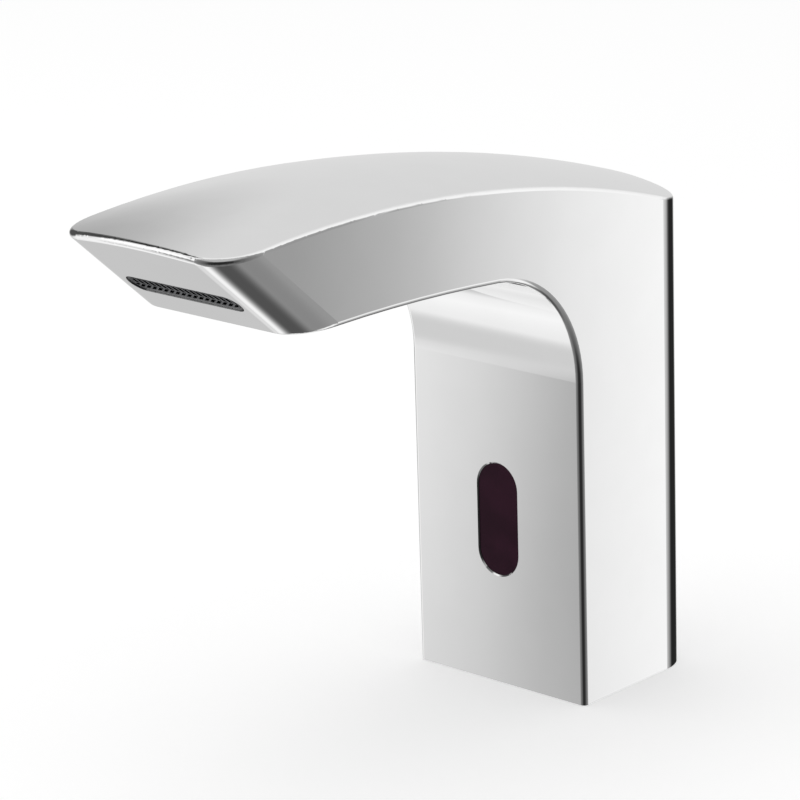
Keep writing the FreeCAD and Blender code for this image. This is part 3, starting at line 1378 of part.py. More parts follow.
def make_all():
    make_body_shell()
    make_base_seal()
    make_base_plate()
    make_lock_screw()
    make_inlet_filter()
    make_inlet_seal()
    make_valve_body()
    make_tube_seal()
    make_valve_diaphragm()
    make_diaphragm_plate()
    make_valve_bonnet()
    make_valve_screws()
    make_core_tube()
    make_fixed_core()
    make_solenoid_plunger()
    make_plunger_seal()
    make_plunger_spring()
    make_coil_bobbin()
    make_coil_winding()
    make_coil_yoke()
    make_latch_magnet()
    make_coil_nut()
    make_sensor_window()
    make_window_gasket()
    make_sensor_housing()
    make_sensor_screws()
    make_sensor_board()
    make_infrared_lamp("InfraredEmitter", "infrared_emitter", window_height + lens_spread)
    make_infrared_lamp("InfraredReceiver", "infrared_receiver", window_height - lens_spread)
    make_board_parts()
    make_inner_frame()
    make_frame_screws()
    make_battery_cradle()
    make_battery_block()
    make_battery_contacts()
    make_outlet_gasket()
    make_outlet_nozzle()
    make_outlet_strainer()
    make_water_tube()
    make_leads()


def check_document():
    for thing in doc.Objects:
        if "Invalid" in thing.State or "Error" in thing.State:
            raise RuntimeError(f"{thing.Name} failed: {thing.State}")
    for thing in nodes:
        if thing.Shape.isNull() or not thing.Shape.isValid():
            raise RuntimeError(f"{thing.Label} has no valid shape")
        if not thing.Shape.Solids:
            raise RuntimeError(f"{thing.Label} holds no solid")


def write_nodes():
    os.makedirs("parts", exist_ok=True)
    for thing in nodes:
        thing.Shape.exportStep(f"parts/{thing.Label}.step")
        bounds = thing.Shape.BoundBox
        print(f"{thing.Label:18s} {len(thing.Shape.Solids)} solid(s) {thing.Shape.Volume:10.1f} mm3 "
              f"x {bounds.XMin:7.2f} {bounds.XMax:7.2f} y {bounds.YMin:8.2f} {bounds.YMax:7.2f} "
              f"z {bounds.ZMin:7.2f} {bounds.ZMax:7.2f}")


make_all()
doc.recompute()
check_document()
write_nodes()
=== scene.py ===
"""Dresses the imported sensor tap: polished chrome casting, smoked window, steel strainer and inner works.

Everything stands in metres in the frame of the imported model: the origin is in the middle of the
foot's underside, +Z is up and the spout reaches towards -Y. Sizes of pieces are given in mm and
become metres where they enter a mesh.
"""

import json
import logging
import math
from dataclasses import dataclass
from enum import Enum
from functools import cache
from itertools import product
from typing import Any, Iterable, Sequence

import bmesh
import bpy
from bmesh.types import BMesh, BMFace, BMVert
from bpy.types import Material, Node, NodeSocket, NodeTree, Object
from mathutils import Matrix, Vector


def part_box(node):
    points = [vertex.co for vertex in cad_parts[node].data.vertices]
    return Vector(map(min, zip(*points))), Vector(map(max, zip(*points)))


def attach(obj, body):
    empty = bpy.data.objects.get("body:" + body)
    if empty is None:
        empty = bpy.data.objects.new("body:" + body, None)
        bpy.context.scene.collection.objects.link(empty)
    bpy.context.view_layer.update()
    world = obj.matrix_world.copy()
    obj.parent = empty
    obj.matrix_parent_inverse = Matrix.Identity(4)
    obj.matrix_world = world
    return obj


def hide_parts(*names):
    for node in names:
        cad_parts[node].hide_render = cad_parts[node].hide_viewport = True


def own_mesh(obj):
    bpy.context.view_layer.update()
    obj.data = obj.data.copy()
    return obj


LOG = logging.getLogger("sensor_tap")
MM = 0.001
WHITE = (1.0, 1.0, 1.0, 1.0)
Pair = tuple[float, float]
Triple = tuple[float, float, float]
Names = tuple[str, ...]

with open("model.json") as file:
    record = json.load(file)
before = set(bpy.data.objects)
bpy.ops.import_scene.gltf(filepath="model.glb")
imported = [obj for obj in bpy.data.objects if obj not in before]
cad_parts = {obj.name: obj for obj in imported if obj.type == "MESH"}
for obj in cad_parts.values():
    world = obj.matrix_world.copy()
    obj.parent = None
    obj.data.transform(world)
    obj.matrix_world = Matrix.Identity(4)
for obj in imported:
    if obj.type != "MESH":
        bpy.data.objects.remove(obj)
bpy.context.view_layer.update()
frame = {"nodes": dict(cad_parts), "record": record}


# ---------------------------------------------------------------- colours and nodes

def linear(code: str) -> tuple[float, float, float, float]:
    """Turns an sRGB hex colour into linear light.

    Args:
        code: Six hex digits, such as "D8DADC".

    Returns:
        Red, green, blue and an alpha of one.
    """
    def channel(value: int) -> float:
        """Undoes the sRGB curve for one channel."""
        share = value / 255
        return share / 12.92 if share <= 0.04045 else ((share + 0.055) / 1.055) ** 2.4
    red, green, blue = (channel(int(code[start:start + 2], 16)) for start in (0, 2, 4))
    return red, green, blue, 1.0


def add_node(tree: NodeTree, kind: str, settings: dict[str, Any] | None = None,
             links: dict[Any, Any] | None = None) -> Node:
    """Adds one node, sets it up and links its inputs.

    Args:
        tree: The node tree that gets the node.
        kind: The node's type name.
        settings: Attribute names or input names or numbers, with their values.
        links: Input names or numbers, with the output sockets that feed them.

    Returns:
        The new node.
    """
    node = tree.nodes.new(kind)
    for key, value in (settings or {}).items():
        if isinstance(key, str) and hasattr(node, key):
            setattr(node, key, value)
        else:
            node.inputs[key].default_value = value
    for key, socket in (links or {}).items():
        tree.links.new(socket, node.inputs[key])
    return node


# ---------------------------------------------------------------- finishes

class Surface(Enum):
    """How a surface was made, which sets the marks that it carries."""

    POLISHED = "polished"
    TURNED = "turned"
    SHEET = "sheet"
    MOULDED = "moulded"
    WOUND = "wound"


@dataclass(frozen=True)
class Finish:
    """One real material and the marks that its making leaves.

    Attributes:
        name: The material's common name and how it was made.
        colour: Its sRGB hex colour.
        shade: A second sRGB hex colour that it varies towards in soft clouds.
        metallic: 1 for a bare metal.
        roughness: Middle of its roughness.
        spread: How far the roughness varies to each side.
        grain_mm: Real size of its marks.
        relief_mm: Depth of its marks.
        surface: How the surface was made.
        coat: Strength of a clear coat.
        gloss: Specular level, where 0.5 is a plain plastic's.
        wear: sRGB hex colour that rubbed edges show, or an empty string for none.
    """

    name: str
    colour: str
    shade: str
    metallic: float = 0.0
    roughness: float = 0.5
    spread: float = 0.08
    grain_mm: float = 1.0
    relief_mm: float = 0.01
    surface: Surface = Surface.MOULDED
    coat: float = 0.0
    gloss: float = 0.5
    wear: str = ""

    def build(self) -> Material:
        """Builds the material's node tree.

        Returns:
            The material, ready for a slot.
        """
        material = bpy.data.materials.new(self.name)
        material.use_nodes = True
        tree = material.node_tree
        tree.nodes.clear()
        place = add_node(tree, "ShaderNodeTexCoord").outputs["Object"]
        marks = self.lay_marks(tree, place)
        cloud = add_node(tree, "ShaderNodeTexNoise", {"Scale": 1.0 / (CLOUD_MM * MM), "Detail": 2.0},
                         {"Vector": place})
        blend = add_node(tree, "ShaderNodeMapRange",
                         {"From Min": CLOUD_LEVELS[0], "From Max": CLOUD_LEVELS[1],
                          "interpolation_type": "SMOOTHSTEP"},
                         {"Value": cloud.outputs["Fac"]})
        colour = add_node(tree, "ShaderNodeMix",
                          {"data_type": "RGBA", 6: linear(self.colour), 7: linear(self.shade)},
                          {0: blend.outputs["Result"]}).outputs[2]
        if self.wear:
            colour = self.rub_edges(tree, marks, colour)
        rough = add_node(tree, "ShaderNodeMapRange",
                         {"From Min": MARK_LEVELS[0], "From Max": MARK_LEVELS[1],
                          "To Min": max(LEAST_ROUGHNESS, self.roughness - self.spread),
                          "To Max": self.roughness + self.spread}, {"Value": marks})
        bump = add_node(tree, "ShaderNodeBump", {"Strength": 1.0, "Distance": self.relief_mm * MM},
                        {"Height": marks})
        shader = add_node(tree, "ShaderNodeBsdfPrincipled",
                          {"Metallic": self.metallic, "Specular IOR Level": self.gloss,
                           "Coat Weight": self.coat, "Coat Roughness": COAT_ROUGHNESS},
                          {"Base Color": colour, "Roughness": rough.outputs["Result"],
                           "Normal": bump.outputs["Normal"]})
        add_node(tree, "ShaderNodeOutputMaterial", {}, {"Surface": shader.outputs["BSDF"]})
        return material

    def lay_marks(self, tree: NodeTree, place: NodeSocket) -> NodeSocket:
        """Lays the marks that the surface's making leaves.

        Args:
            tree: The material's node tree.
            place: Each point's place on the object, in metres.

        Returns:
            The socket with the marks' height, from 0 to 1.
        """
        fine = add_node(tree, "ShaderNodeTexNoise",
                        {"Scale": 1.0 / (self.grain_mm * MM), "Detail": 4.0, "Roughness": 0.55},
                        {"Vector": place})
        if self.surface in (Surface.MOULDED, Surface.POLISHED):
            return fine.outputs["Fac"]
        if self.surface is Surface.SHEET:
            stretched = add_node(tree, "ShaderNodeMapping", {"Scale": ROLLED_SCALE}, {"Vector": place})
            return add_node(tree, "ShaderNodeTexNoise", {"Scale": 1.0 / (self.grain_mm * MM), "Detail": 3.0},
                            {"Vector": stretched.outputs["Vector"]}).outputs["Fac"]
        # A lathe tool and a layer of wire both leave rings one above the other, a grain apart
        rings = add_node(tree, "ShaderNodeTexWave",
                         {"bands_direction": "Z", "Scale": WAVE_TO_METRES / (self.grain_mm * MM),
                          "Distortion": 0.3, "Detail": 1.0}, {"Vector": place})
        both = add_node(tree, "ShaderNodeMix", {"data_type": "FLOAT", 0: NOISE_IN_RINGS},
                        {2: rings.outputs["Fac"], 3: fine.outputs["Fac"]})
        return both.outputs[0]

    def rub_edges(self, tree: NodeTree, marks: NodeSocket,
                  under: NodeSocket) -> NodeSocket:
        """Shows the wear colour along outer edges, broken up by the marks.

        Args:
            tree: The material's node tree.
            marks: The marks' height.
            under: The colour away from the edges.

        Returns:
            The socket with the colour, worn edges included.
        """
        rounded = add_node(tree, "ShaderNodeBevel", {"samples": 4, "Radius": WEAR_MM * MM})
        true = add_node(tree, "ShaderNodeNewGeometry")
        same = add_node(tree, "ShaderNodeVectorMath", {"operation": "DOT_PRODUCT"},
                        {0: rounded.outputs["Normal"], 1: true.outputs["Normal"]})
        edge = add_node(tree, "ShaderNodeMapRange",
                        {"From Min": EDGE_LEVELS[0], "From Max": EDGE_LEVELS[1], "To Max": MOST_WEAR},
                        {"Value": same.outputs["Value"]})
        broken = add_node(tree, "ShaderNodeMath", {"operation": "MULTIPLY"},
                          {0: edge.outputs["Result"], 1: marks})
        return add_node(tree, "ShaderNodeMix", {"data_type": "RGBA", 7: linear(self.wear)},
                        {0: broken.outputs[0], 6: under}).outputs[2]


CLOUD_MM = 9.0                  # soft clouds of colour across a piece
CLOUD_LEVELS = (0.35, 0.65)     # noise levels where the second colour starts and where it is full
MARK_LEVELS = (0.3, 0.7)        # heights of the marks between which the roughness runs
LEAST_ROUGHNESS = 0.02
COAT_ROUGHNESS = 0.1
ROLLED_SCALE = (0.1, 1.0, 1.0)  # rolling makes a sheet's grain ten times as long as it is wide
NOISE_IN_RINGS = 0.35           # share of plain grain among a lathe's rings
WEAR_MM = 0.25                  # width of a rubbed edge
EDGE_LEVELS = (0.99, 0.85)      # likeness of rounded and true normal where wear starts and is full
MOST_WEAR = 0.7
WAVE_TO_METRES = 0.314          # a wave texture of scale 1 has a band every 0.314 of a unit

FINISHES: dict[str, Finish] = {
    # A mirror with a faint waviness from the polishing wheel, and hairlines too shallow to catch light
    "chrome_casting": Finish(
        "chrome plated brass, polished", "F2F2F2", "F1F1F1", 1.0, 0.035, 0.008, 6.0, 0.0003, Surface.POLISHED),
    # Dull black with the mould's fine grain and grey where it is rubbed
    "black_rubber": Finish(
        "nitrile rubber, moulded", "1B1B1C", "242425", 0.0, 0.72, 0.08, 0.3, 0.01, wear="3A3A3B"),
    # Warm yellow with the mill's fine rings and brighter corners
    "plate_brass": Finish(
        "brass, milled", "B89A5A", "A88A4C", 1.0, 0.32, 0.08, 0.5, 0.004, Surface.TURNED, wear="DCC48A"),
    # Grey metal with a lathe's rings
    "steel_screw": Finish(
        "stainless steel, turned", "A6A7A9", "96979A", 1.0, 0.3, 0.08, 0.35, 0.003, Surface.TURNED,
        wear="C8C9CB"),
    # Nearly black with a plum cast, glossy, with faint flow clouds
    "smoked_window": Finish(
        "smoked acrylic, moulded", "38182A", "2F1323", 0.0, 0.08, 0.02, 4.0, 0.0005, gloss=0.08),
    # Off-white, waxy, with the mould's fine grain
    "white_acetal": Finish(
        "white acetal, moulded", "DAD9D3", "CFCEC8", 0.0, 0.42, 0.06, 0.5, 0.004, wear="E6E5E0"),
    # Dark grey and waxy, so that the outlet reads as one dark slot
    "grey_acetal": Finish(
        "grey acetal, moulded", "2E3033", "27292C", 0.0, 0.4, 0.06, 0.5, 0.004, wear="46484B"),
    # Dark etched sheet whose ribs catch a little light
    "stainless_mesh": Finish(
        "stainless steel sheet, etched", "4C4D50", "404144", 1.0, 0.4, 0.08, 0.4, 0.003, Surface.SHEET),
    # Bright drawn tube with fine rings
    "stainless_tube": Finish(
        "stainless steel tube, drawn", "A8A9AB", "9A9B9E", 1.0, 0.24, 0.06, 0.4, 0.002, Surface.TURNED),
    # Duller, slightly warm grey with a lathe's rings
    "magnetic_steel": Finish(
        "ferritic steel, turned", "8B8C8E", "7C7D80", 1.0, 0.34, 0.08, 0.4, 0.003, Surface.TURNED,
        wear="AEAFB1"),
    # Dark bright wire with drawing marks
    "spring_steel": Finish(
        "spring steel wire, drawn", "8E8F91", "7E7F82", 1.0, 0.28, 0.06, 0.3, 0.001, Surface.POLISHED),
    # Orange-brown lacquered wire, layer upon layer
    "enamelled_copper": Finish(
        "enamelled copper wire, wound", "A0502A", "8A401F", 0.8, 0.3, 0.06, 0.35, 0.01, Surface.WOUND, 0.3),
    # Bluish grey plating over a rolled sheet, with bright bends
    "zinc_sheet": Finish(
        "zinc plated steel sheet, bent", "9EA3A8", "8F949A", 1.0, 0.36, 0.08, 0.6, 0.002, Surface.SHEET,
        wear="C2C6CA"),
    # Charcoal and dry, like fired clay
    "ferrite": Finish("ferrite, sintered", "2A2A2B", "343435", 0.0, 0.6, 0.08, 0.3, 0.01, wear="505051"),
    # Faintly yellow bright plating with a lathe's rings
    "plated_nut": Finish(
        "nickel plated brass, turned", "A9A597", "9A9688", 1.0, 0.24, 0.06, 0.35, 0.002, Surface.TURNED,
        wear="C9BE94"),
    # Satin black with the mould's spark grain
    "black_moulding": Finish(
        "black polycarbonate, moulded", "232324", "1C1C1D", 0.0, 0.46, 0.06, 0.4, 0.006, wear="414142"),
    # Satin grey with the mould's spark grain
    "grey_moulding": Finish(
        "grey ABS, moulded", "5F6165", "56585C", 0.0, 0.44, 0.06, 0.4, 0.006, wear="7E8084"),
    # Green lacquer over a faint glass weave
    "green_board": Finish(
        "epoxy circuit board, lacquered", "1B5A35", "174E2E", 0.0, 0.32, 0.05, 0.6, 0.004, coat=0.3,
        wear="8C8A52"),
    # Milky blue and glossy
    "clear_lens": Finish("clear epoxy, cast", "B9C2CE", "AEB8C6", 0.0, 0.1, 0.02, 1.0, 0.001, coat=0.3),
    # Near black with a plum cast, glossy
    "dark_lens": Finish("dark epoxy, cast", "241622", "1E121C", 0.0, 0.1, 0.02, 1.0, 0.001, coat=0.3),
    # Deep red and glossy
    "red_lamp": Finish("red epoxy, cast", "A82A22", "98221C", 0.0, 0.14, 0.03, 0.8, 0.001, coat=0.3),
    # Matt black with a sandy grain
    "black_chip": Finish(
        "black epoxy, moulded", "262627", "202021", 0.0, 0.58, 0.06, 0.2, 0.006, wear="3E3E3F"),
    # Pale bright can with drawing rings
    "foil_capacitor": Finish(
        "aluminium can, drawn", "B4B6B8", "A6A8AB", 1.0, 0.3, 0.06, 0.3, 0.002, Surface.TURNED,
        wear="D0D2D4"),
    # Warm white and waxy
    "cream_socket": Finish(
        "cream nylon, moulded", "D9D1B4", "CFC7A9", 0.0, 0.44, 0.05, 0.4, 0.004, wear="E8E2CA"),
    # Dark blue film with shrink wrinkles
    "battery_sleeve": Finish(
        "PVC sleeve, shrunk", "2A4A78", "24416B", 0.0, 0.34, 0.05, 2.0, 0.02, wear="4C6C98"),
    # Faintly yellow bright plating over a rolled strip
    "nickel_contact": Finish(
        "nickel plated spring steel, bent", "B0AC9E", "A29E90", 1.0, 0.26, 0.06, 0.5, 0.002, Surface.SHEET),
    # Blue and waxy, with the die's fine lines
    "tube_polyethylene": Finish(
        "blue polyethylene tube, extruded", "3C5C94", "355286", 0.0, 0.38, 0.05, 0.8, 0.006),
    # Red and waxy
    "red_lead": Finish("red PVC insulation, extruded", "9A2620", "8A201B", 0.0, 0.4, 0.05, 0.5, 0.004),
    # Black and waxy
    "black_lead": Finish("black PVC insulation, extruded", "202021", "2A2A2B", 0.0, 0.42, 0.05, 0.5, 0.004),
}


# ---------------------------------------------------------------- studio

@dataclass
class Studio:
    """Pale floor, soft light and the photograph's camera.

    Attributes:
        eye: The camera's place.
        right: The camera's right-hand direction.
        upward: The camera's upward direction.
        backward: The direction from the object to the camera.
        lens_mm: Focal length.
        sensor_mm: Width of the camera's sensor.
        clip: Nearest and farthest distance seen.
        floor_half: Half the floor's side.
        floor_drop: How far the floor lies below the foot.
        floor_tone: The paint's brightness.
        floor_glow: What the floor shines by itself, to the camera only.
        lamp_side: The lamp's side.
        lamp_power: The lamp's watts.
        lamp_place: The lamp's place.
        fill: The world's brightness for anything matt.
        blend_half: How far round the corner the side's tones pass into the front's.
    """

    eye: Triple = (0.5404, -0.63775, 0.3171)
    right: Triple = (0.74064, 0.67135, -0.02853)
    upward: Triple = (-0.17453, 0.23320, 0.95669)
    backward: Triple = (0.64889, -0.70353, 0.28987)
    lens_mm: float = 171.0
    sensor_mm: float = 36.0
    clip: Pair = (0.01, 20.0)
    floor_half: float = 3.0
    floor_drop: float = 0.0002
    floor_tone: float = 0.8
    floor_glow: float = 0.42
    lamp_side: float = 1.6
    lamp_power: float = 9.0
    lamp_place: Triple = (-0.3, -0.4, 1.8)
    fill: float = 0.55
    blend_half: float = 0.3

    def build(self) -> None:
        """Sets the camera, the floor, the lamp and the world."""
        self.add_camera()
        self.add_floor()
        self.add_lamp()
        self.set_world()
        bpy.context.scene.view_settings.view_transform = "Standard"

    def add_camera(self) -> None:
        """Puts the camera at the photograph's viewing angle."""
        data = bpy.data.cameras.new("photo_camera")
        data.lens = self.lens_mm
        data.sensor_width = self.sensor_mm
        data.clip_start, data.clip_end = self.clip
        camera = bpy.data.objects.new("photo_camera", data)
        bpy.context.scene.collection.objects.link(camera)
        turn = Matrix((self.right, self.upward, self.backward)).transposed().to_4x4()
        camera.matrix_world = Matrix.Translation(self.eye) @ turn
        bpy.context.scene.camera = camera

    def add_floor(self) -> None:
        """Lays a pale floor that renders white and keeps the object's soft shadow."""
        mesh = bmesh.new()
        bmesh.ops.create_grid(mesh, x_segments=1, y_segments=1, size=self.floor_half)
        bmesh.ops.translate(mesh, vec=(0, 0, -self.floor_drop), verts=mesh.verts)
        floor = finish_mesh(mesh, "studio_floor", smooth=False)
        material = bpy.data.materials.new("pale floor, painted")
        material.use_nodes = True
        tree = material.node_tree
        tree.nodes.clear()
        path = add_node(tree, "ShaderNodeLightPath")
        seen = add_node(tree, "ShaderNodeMath", {"operation": "MAXIMUM"},
                        {0: path.outputs["Is Camera Ray"], 1: path.outputs["Is Transmission Ray"]})
        power = add_node(tree, "ShaderNodeMath", {"operation": "MULTIPLY", 1: self.floor_glow},
                         {0: seen.outputs[0]})
        paint = add_node(tree, "ShaderNodeBsdfDiffuse", {"Color": (*(self.floor_tone,) * 3, 1)})
        glow = add_node(tree, "ShaderNodeEmission", {"Color": WHITE}, {"Strength": power.outputs[0]})
        both = add_node(tree, "ShaderNodeAddShader", {}, {0: paint.outputs[0], 1: glow.outputs[0]})
        add_node(tree, "ShaderNodeOutputMaterial", {}, {"Surface": both.outputs[0]})
        floor.data.materials.append(material)
        floor.visible_glossy = False

    def add_lamp(self) -> None:
        """Hangs one large soft lamp over the object."""
        data = bpy.data.lights.new("soft_lamp", "AREA")
        data.shape = "SQUARE"
        data.size = self.lamp_side
        data.energy = self.lamp_power
        lamp = bpy.data.objects.new("soft_lamp", data)
        lamp.location = self.lamp_place
        lamp.rotation_euler = (-lamp.location).to_track_quat("-Z", "Y").to_euler()
        lamp.visible_glossy = False
        lamp.visible_camera = False
        bpy.context.scene.collection.objects.link(lamp)

    def set_world(self) -> None:
        """Surrounds the object with a white studio that metal sees with its grey sides."""
        world = bpy.data.worlds.new("white_studio")
        bpy.context.scene.world = world
        world.use_nodes = True
        tree = world.node_tree
        tree.nodes.clear()
        path = add_node(tree, "ShaderNodeLightPath")
        way = add_node(tree, "ShaderNodeTexCoord").outputs["Generated"]
        front = add_node(tree, "ShaderNodeVectorMath", {"operation": "DOT_PRODUCT", 1: FRONT_WAY}, {0: way})
        share = add_node(tree, "ShaderNodeMapRange",
                         {"interpolation_type": "SMOOTHSTEP", "From Min": -self.blend_half,
                          "From Max": self.blend_half}, {"Value": front.outputs["Value"]})
        tone = add_node(tree, "ShaderNodeMix", {"data_type": "RGBA"},
                        {0: share.outputs["Result"], 6: SIDE_GRADE.lay(tree, way),
                         7: FRONT_GRADE.lay(tree, way)}).outputs[2]
        for patch in PATCHES:
            tone = patch.lay(tree, way, tone)
        mirror = add_node(tree, "ShaderNodeBackground", {"Strength": 1.0}, {"Color": tone})
        white = add_node(tree, "ShaderNodeBackground", {"Color": WHITE, "Strength": 1.0})
        plain = add_node(tree, "ShaderNodeBackground", {"Color": WHITE, "Strength": self.fill})
        seen = add_node(tree, "ShaderNodeMath", {"operation": "MAXIMUM"},
                        {0: path.outputs["Is Camera Ray"], 1: path.outputs["Is Transmission Ray"]})
        first = add_node(tree, "ShaderNodeMixShader", {},
                         {0: path.outputs["Is Glossy Ray"], 1: plain.outputs[0], 2: mirror.outputs[0]})
        last = add_node(tree, "ShaderNodeMixShader", {},
                        {0: seen.outputs[0], 1: first.outputs[0], 2: white.outputs[0]})
        add_node(tree, "ShaderNodeOutputWorld", {}, {"Surface": last.outputs[0]})


@dataclass(frozen=True)
class Grade:
    """A run of tones across the studio, seen by metal.

    Attributes:
        axis: The direction along which the tones change.
        stops: Pairs of how far a look leans to the axis, from -1 to 1, and the tone there.
    """

    axis: Triple
    stops: tuple[Pair, ...]

    def lay(self, tree: NodeTree, way: NodeSocket) -> NodeSocket:
        """Turns a look's direction into its tone.

        Args:
            tree: The world's node tree.
            way: The direction that is looked along.

        Returns:
            The socket with the tone.
        """
        across = add_node(tree, "ShaderNodeVectorMath", {"operation": "DOT_PRODUCT", 1: self.axis}, {0: way})
        place = add_node(tree, "ShaderNodeMapRange", {"From Min": -1.0, "From Max": 1.0},
                         {"Value": across.outputs["Value"]})
        ramp = add_node(tree, "ShaderNodeValToRGB", {}, {"Fac": place.outputs["Result"]})
        while len(ramp.color_ramp.elements) < len(self.stops):
            ramp.color_ramp.elements.new(0.5)
        for element, (spot, value) in zip(ramp.color_ramp.elements, self.stops):
            element.position = (spot + 1) / 2
            element.color = (value, value, value, 1)
        return ramp.outputs["Color"]


# Tones that the right-hand side of the tap shows, and tones that its front shows
SIDE_GRADE = Grade((0.7510, -0.6603, 0.0), (
    (-1.0, 0.80), (-0.5, 0.90), (-0.05, 1.06), (-0.024, 0.91), (0.002, 0.70), (0.02, 0.52), (0.05, 0.36),
    (0.10, 0.34), (0.19, 0.31), (0.25, 0.28), (0.5, 0.20), (0.75, 0.12), (0.9, 0.03), (1.0, 0.02)))
FRONT_GRADE = Grade((0.7510, -0.6603, -0.14), (
    (-1.0, 0.80), (-0.55, 0.86), (-0.3, 1.04), (-0.1, 0.93), (0.007, 0.93), (0.017, 0.90), (0.043, 0.71),
    (0.061, 0.51), (0.091, 0.35), (0.2, 0.27), (0.5, 0.19), (0.75, 0.12), (0.9, 0.03), (1.0, 0.02)))
FRONT_WAY = (-0.6603, -0.7510, 0.0)


@dataclass(frozen=True)
class Patch:
    """A soft-edged part of the studio with its own brightness, such as a lamp or a dark wall.

    Attributes:
        azimuth: Its middle's compass direction, in degrees from +X towards +Y.
        elevation: Its middle's height above the level, in degrees.
        inner: Angle from its middle within which it is full, in degrees.
        outer: Angle from its middle where it ends, in degrees.
        tone: Its brightness, where 1 is white.
    """

    azimuth: float
    elevation: float
    inner: float
    outer: float
    tone: float

    def lay(self, tree: NodeTree, way: NodeSocket,
            under: NodeSocket) -> NodeSocket:
        """Lays the patch over what the studio shows so far.

        Args:
            tree: The world's node tree.
            way: The direction that is looked along.
            under: The tone without this patch.

        Returns:
            The socket with the tone, patch included.
        """
        level = math.radians(self.elevation)
        turn = math.radians(self.azimuth)
        middle = (math.cos(level) * math.cos(turn), math.cos(level) * math.sin(turn), math.sin(level))
        close = add_node(tree, "ShaderNodeVectorMath", {"operation": "DOT_PRODUCT", 1: middle}, {0: way})
        share = add_node(tree, "ShaderNodeMapRange",
                         {"interpolation_type": "SMOOTHSTEP", "From Min": math.cos(math.radians(self.outer)),
                          "From Max": math.cos(math.radians(self.inner))},
                         {"Value": close.outputs["Value"]})
        mix = add_node(tree, "ShaderNodeMix", {"data_type": "RGBA", 7: (self.tone, self.tone, self.tone, 1)},
                       {0: share.outputs["Result"], 6: under})
        return mix.outputs[2]


PATCHES: tuple[Patch, ...] = (
    Patch(133.0, 5.0, 20.0, 60.0, 0.745),      # what the top shows
    Patch(178.0, 16.0, 20.0, 43.5, 0.08),      # darkens the top towards the lip
    Patch(-175.0, 50.0, 8.0, 22.0, 0.03),      # the lip's dark line
    Patch(-133.0, 14.0, 8.0, 24.0, 1.2),       # the lip's white line
    Patch(-40.0, 65.0, 20.0, 45.0, 0.5),       # softens the near end of the rim
    Patch(88.0, -22.0, 12.0, 34.6, 0.02),      # the rear corner's dark line
    Patch(-139.0, -31.0, 3.0, 14.5, 0.69),     # eases the front into the hollow
    Patch(50.0, -84.0, 5.0, 30.0, 0.09),      # the dark line on the outlet's rounding
    Patch(150.0, -40.0, 10.0, 20.0, 0.61),     # what the outlet face shows
    Patch(153.5, -50.0, 2.0, 8.0, 0.80),       # the pale line beside it
)


# ---------------------------------------------------------------- shared mesh steps

SHARP = math.radians(35)    # an edge that turns more than this is shown as a corner
CLOSE = 1e-7                # points nearer to each other than this are one, in metres
END_STEPS = 16              # facets round a half-round end
ROUND_STEPS = 64            # facets round a diaphragm
PAST = 1.0                  # how far a cutting solid runs past what it cuts, in mm
OPENING = (27.4, 12.1)      # height and width of the window's opening, in mm


def finish_mesh(mesh: BMesh, name: str, smooth: bool = True) -> Object:
    """Turns a bmesh into an object in the scene.

    Args:
        mesh: The bmesh, which is freed.
        name: The object's name.
        smooth: Whether its faces are shaded smooth between corners.

    Returns:
        The new object.
    """
    data = bpy.data.meshes.new(name)
    for face in mesh.faces:
        face.smooth = smooth
    for edge in mesh.edges:
        edge.smooth = not edge.is_manifold or edge.calc_face_angle(0.0) < SHARP
    mesh.to_mesh(data)
    mesh.free()
    thing = bpy.data.objects.new(name, data)
    bpy.context.scene.collection.objects.link(thing)
    if smooth:
        # Large flat faces keep their own direction, so that a rounded edge doesn't bend their reflections
        thing.modifiers.new("even_shading", "WEIGHTED_NORMAL").keep_sharp = True
    return thing


def turned(profile: Sequence[Pair], steps: int, ring: bool = False,
           middle: Sequence[float] = (0.0, 0.0)) -> BMesh:
    """Turns a profile once round an upright line into a closed solid.

    Args:
        profile: Pairs of radius and height, along the outline.
        steps: Number of facets round the axis.
        ring: Whether the outline closes on itself, away from the axis.
        middle: Where the line stands along X and Y.

    Returns:
        The solid's mesh, in metres.
    """
    mesh = bmesh.new()
    points = [mesh.verts.new((radius * MM, 0.0, height * MM)) for radius, height in profile]
    lines = [mesh.edges.new(pair) for pair in zip(points, points[1:])]
    if ring:
        lines.append(mesh.edges.new((points[-1], points[0])))
    bmesh.ops.spin(mesh, geom=points + lines, cent=(0, 0, 0), axis=(0, 0, 1), angle=2 * math.pi, steps=steps,
                   use_merge=True)
    bmesh.ops.remove_doubles(mesh, verts=mesh.verts, dist=CLOSE)
    bmesh.ops.recalc_face_normals(mesh, faces=mesh.faces)
    bmesh.ops.translate(mesh, vec=(middle[0] * MM, middle[1] * MM, 0), verts=mesh.verts)
    return mesh


def obround_face(mesh: BMesh, length: float, width: float, height: float) -> BMFace:
    """Draws a flat face with two round ends, lying along X.

    Args:
        mesh: The mesh that gets the face.
        length: Its whole length.
        width: Its whole width.
        height: Its height.

    Returns:
        The face, which looks towards +Z.
    """
    run = (length - width) / 2 * MM
    side = width / 2 * MM
    tall = height * MM
    loop: list[BMVert] = []
    for sign in (1, -1):
        point = mesh.verts.new((sign * run, -sign * side, tall))
        before = set(mesh.verts)
        bmesh.ops.spin(mesh, geom=[point], cent=(sign * run, 0, tall), axis=(0, 0, 1), angle=math.pi,
                       steps=END_STEPS)
        swept = [made for made in mesh.verts if made not in before]
        loop += [point] + sorted(swept, key=lambda made: sign * made.co.y)
    face = mesh.faces.new(loop)
    face.normal_update()
    if face.normal.z < 0:
        face.normal_flip()
    return face


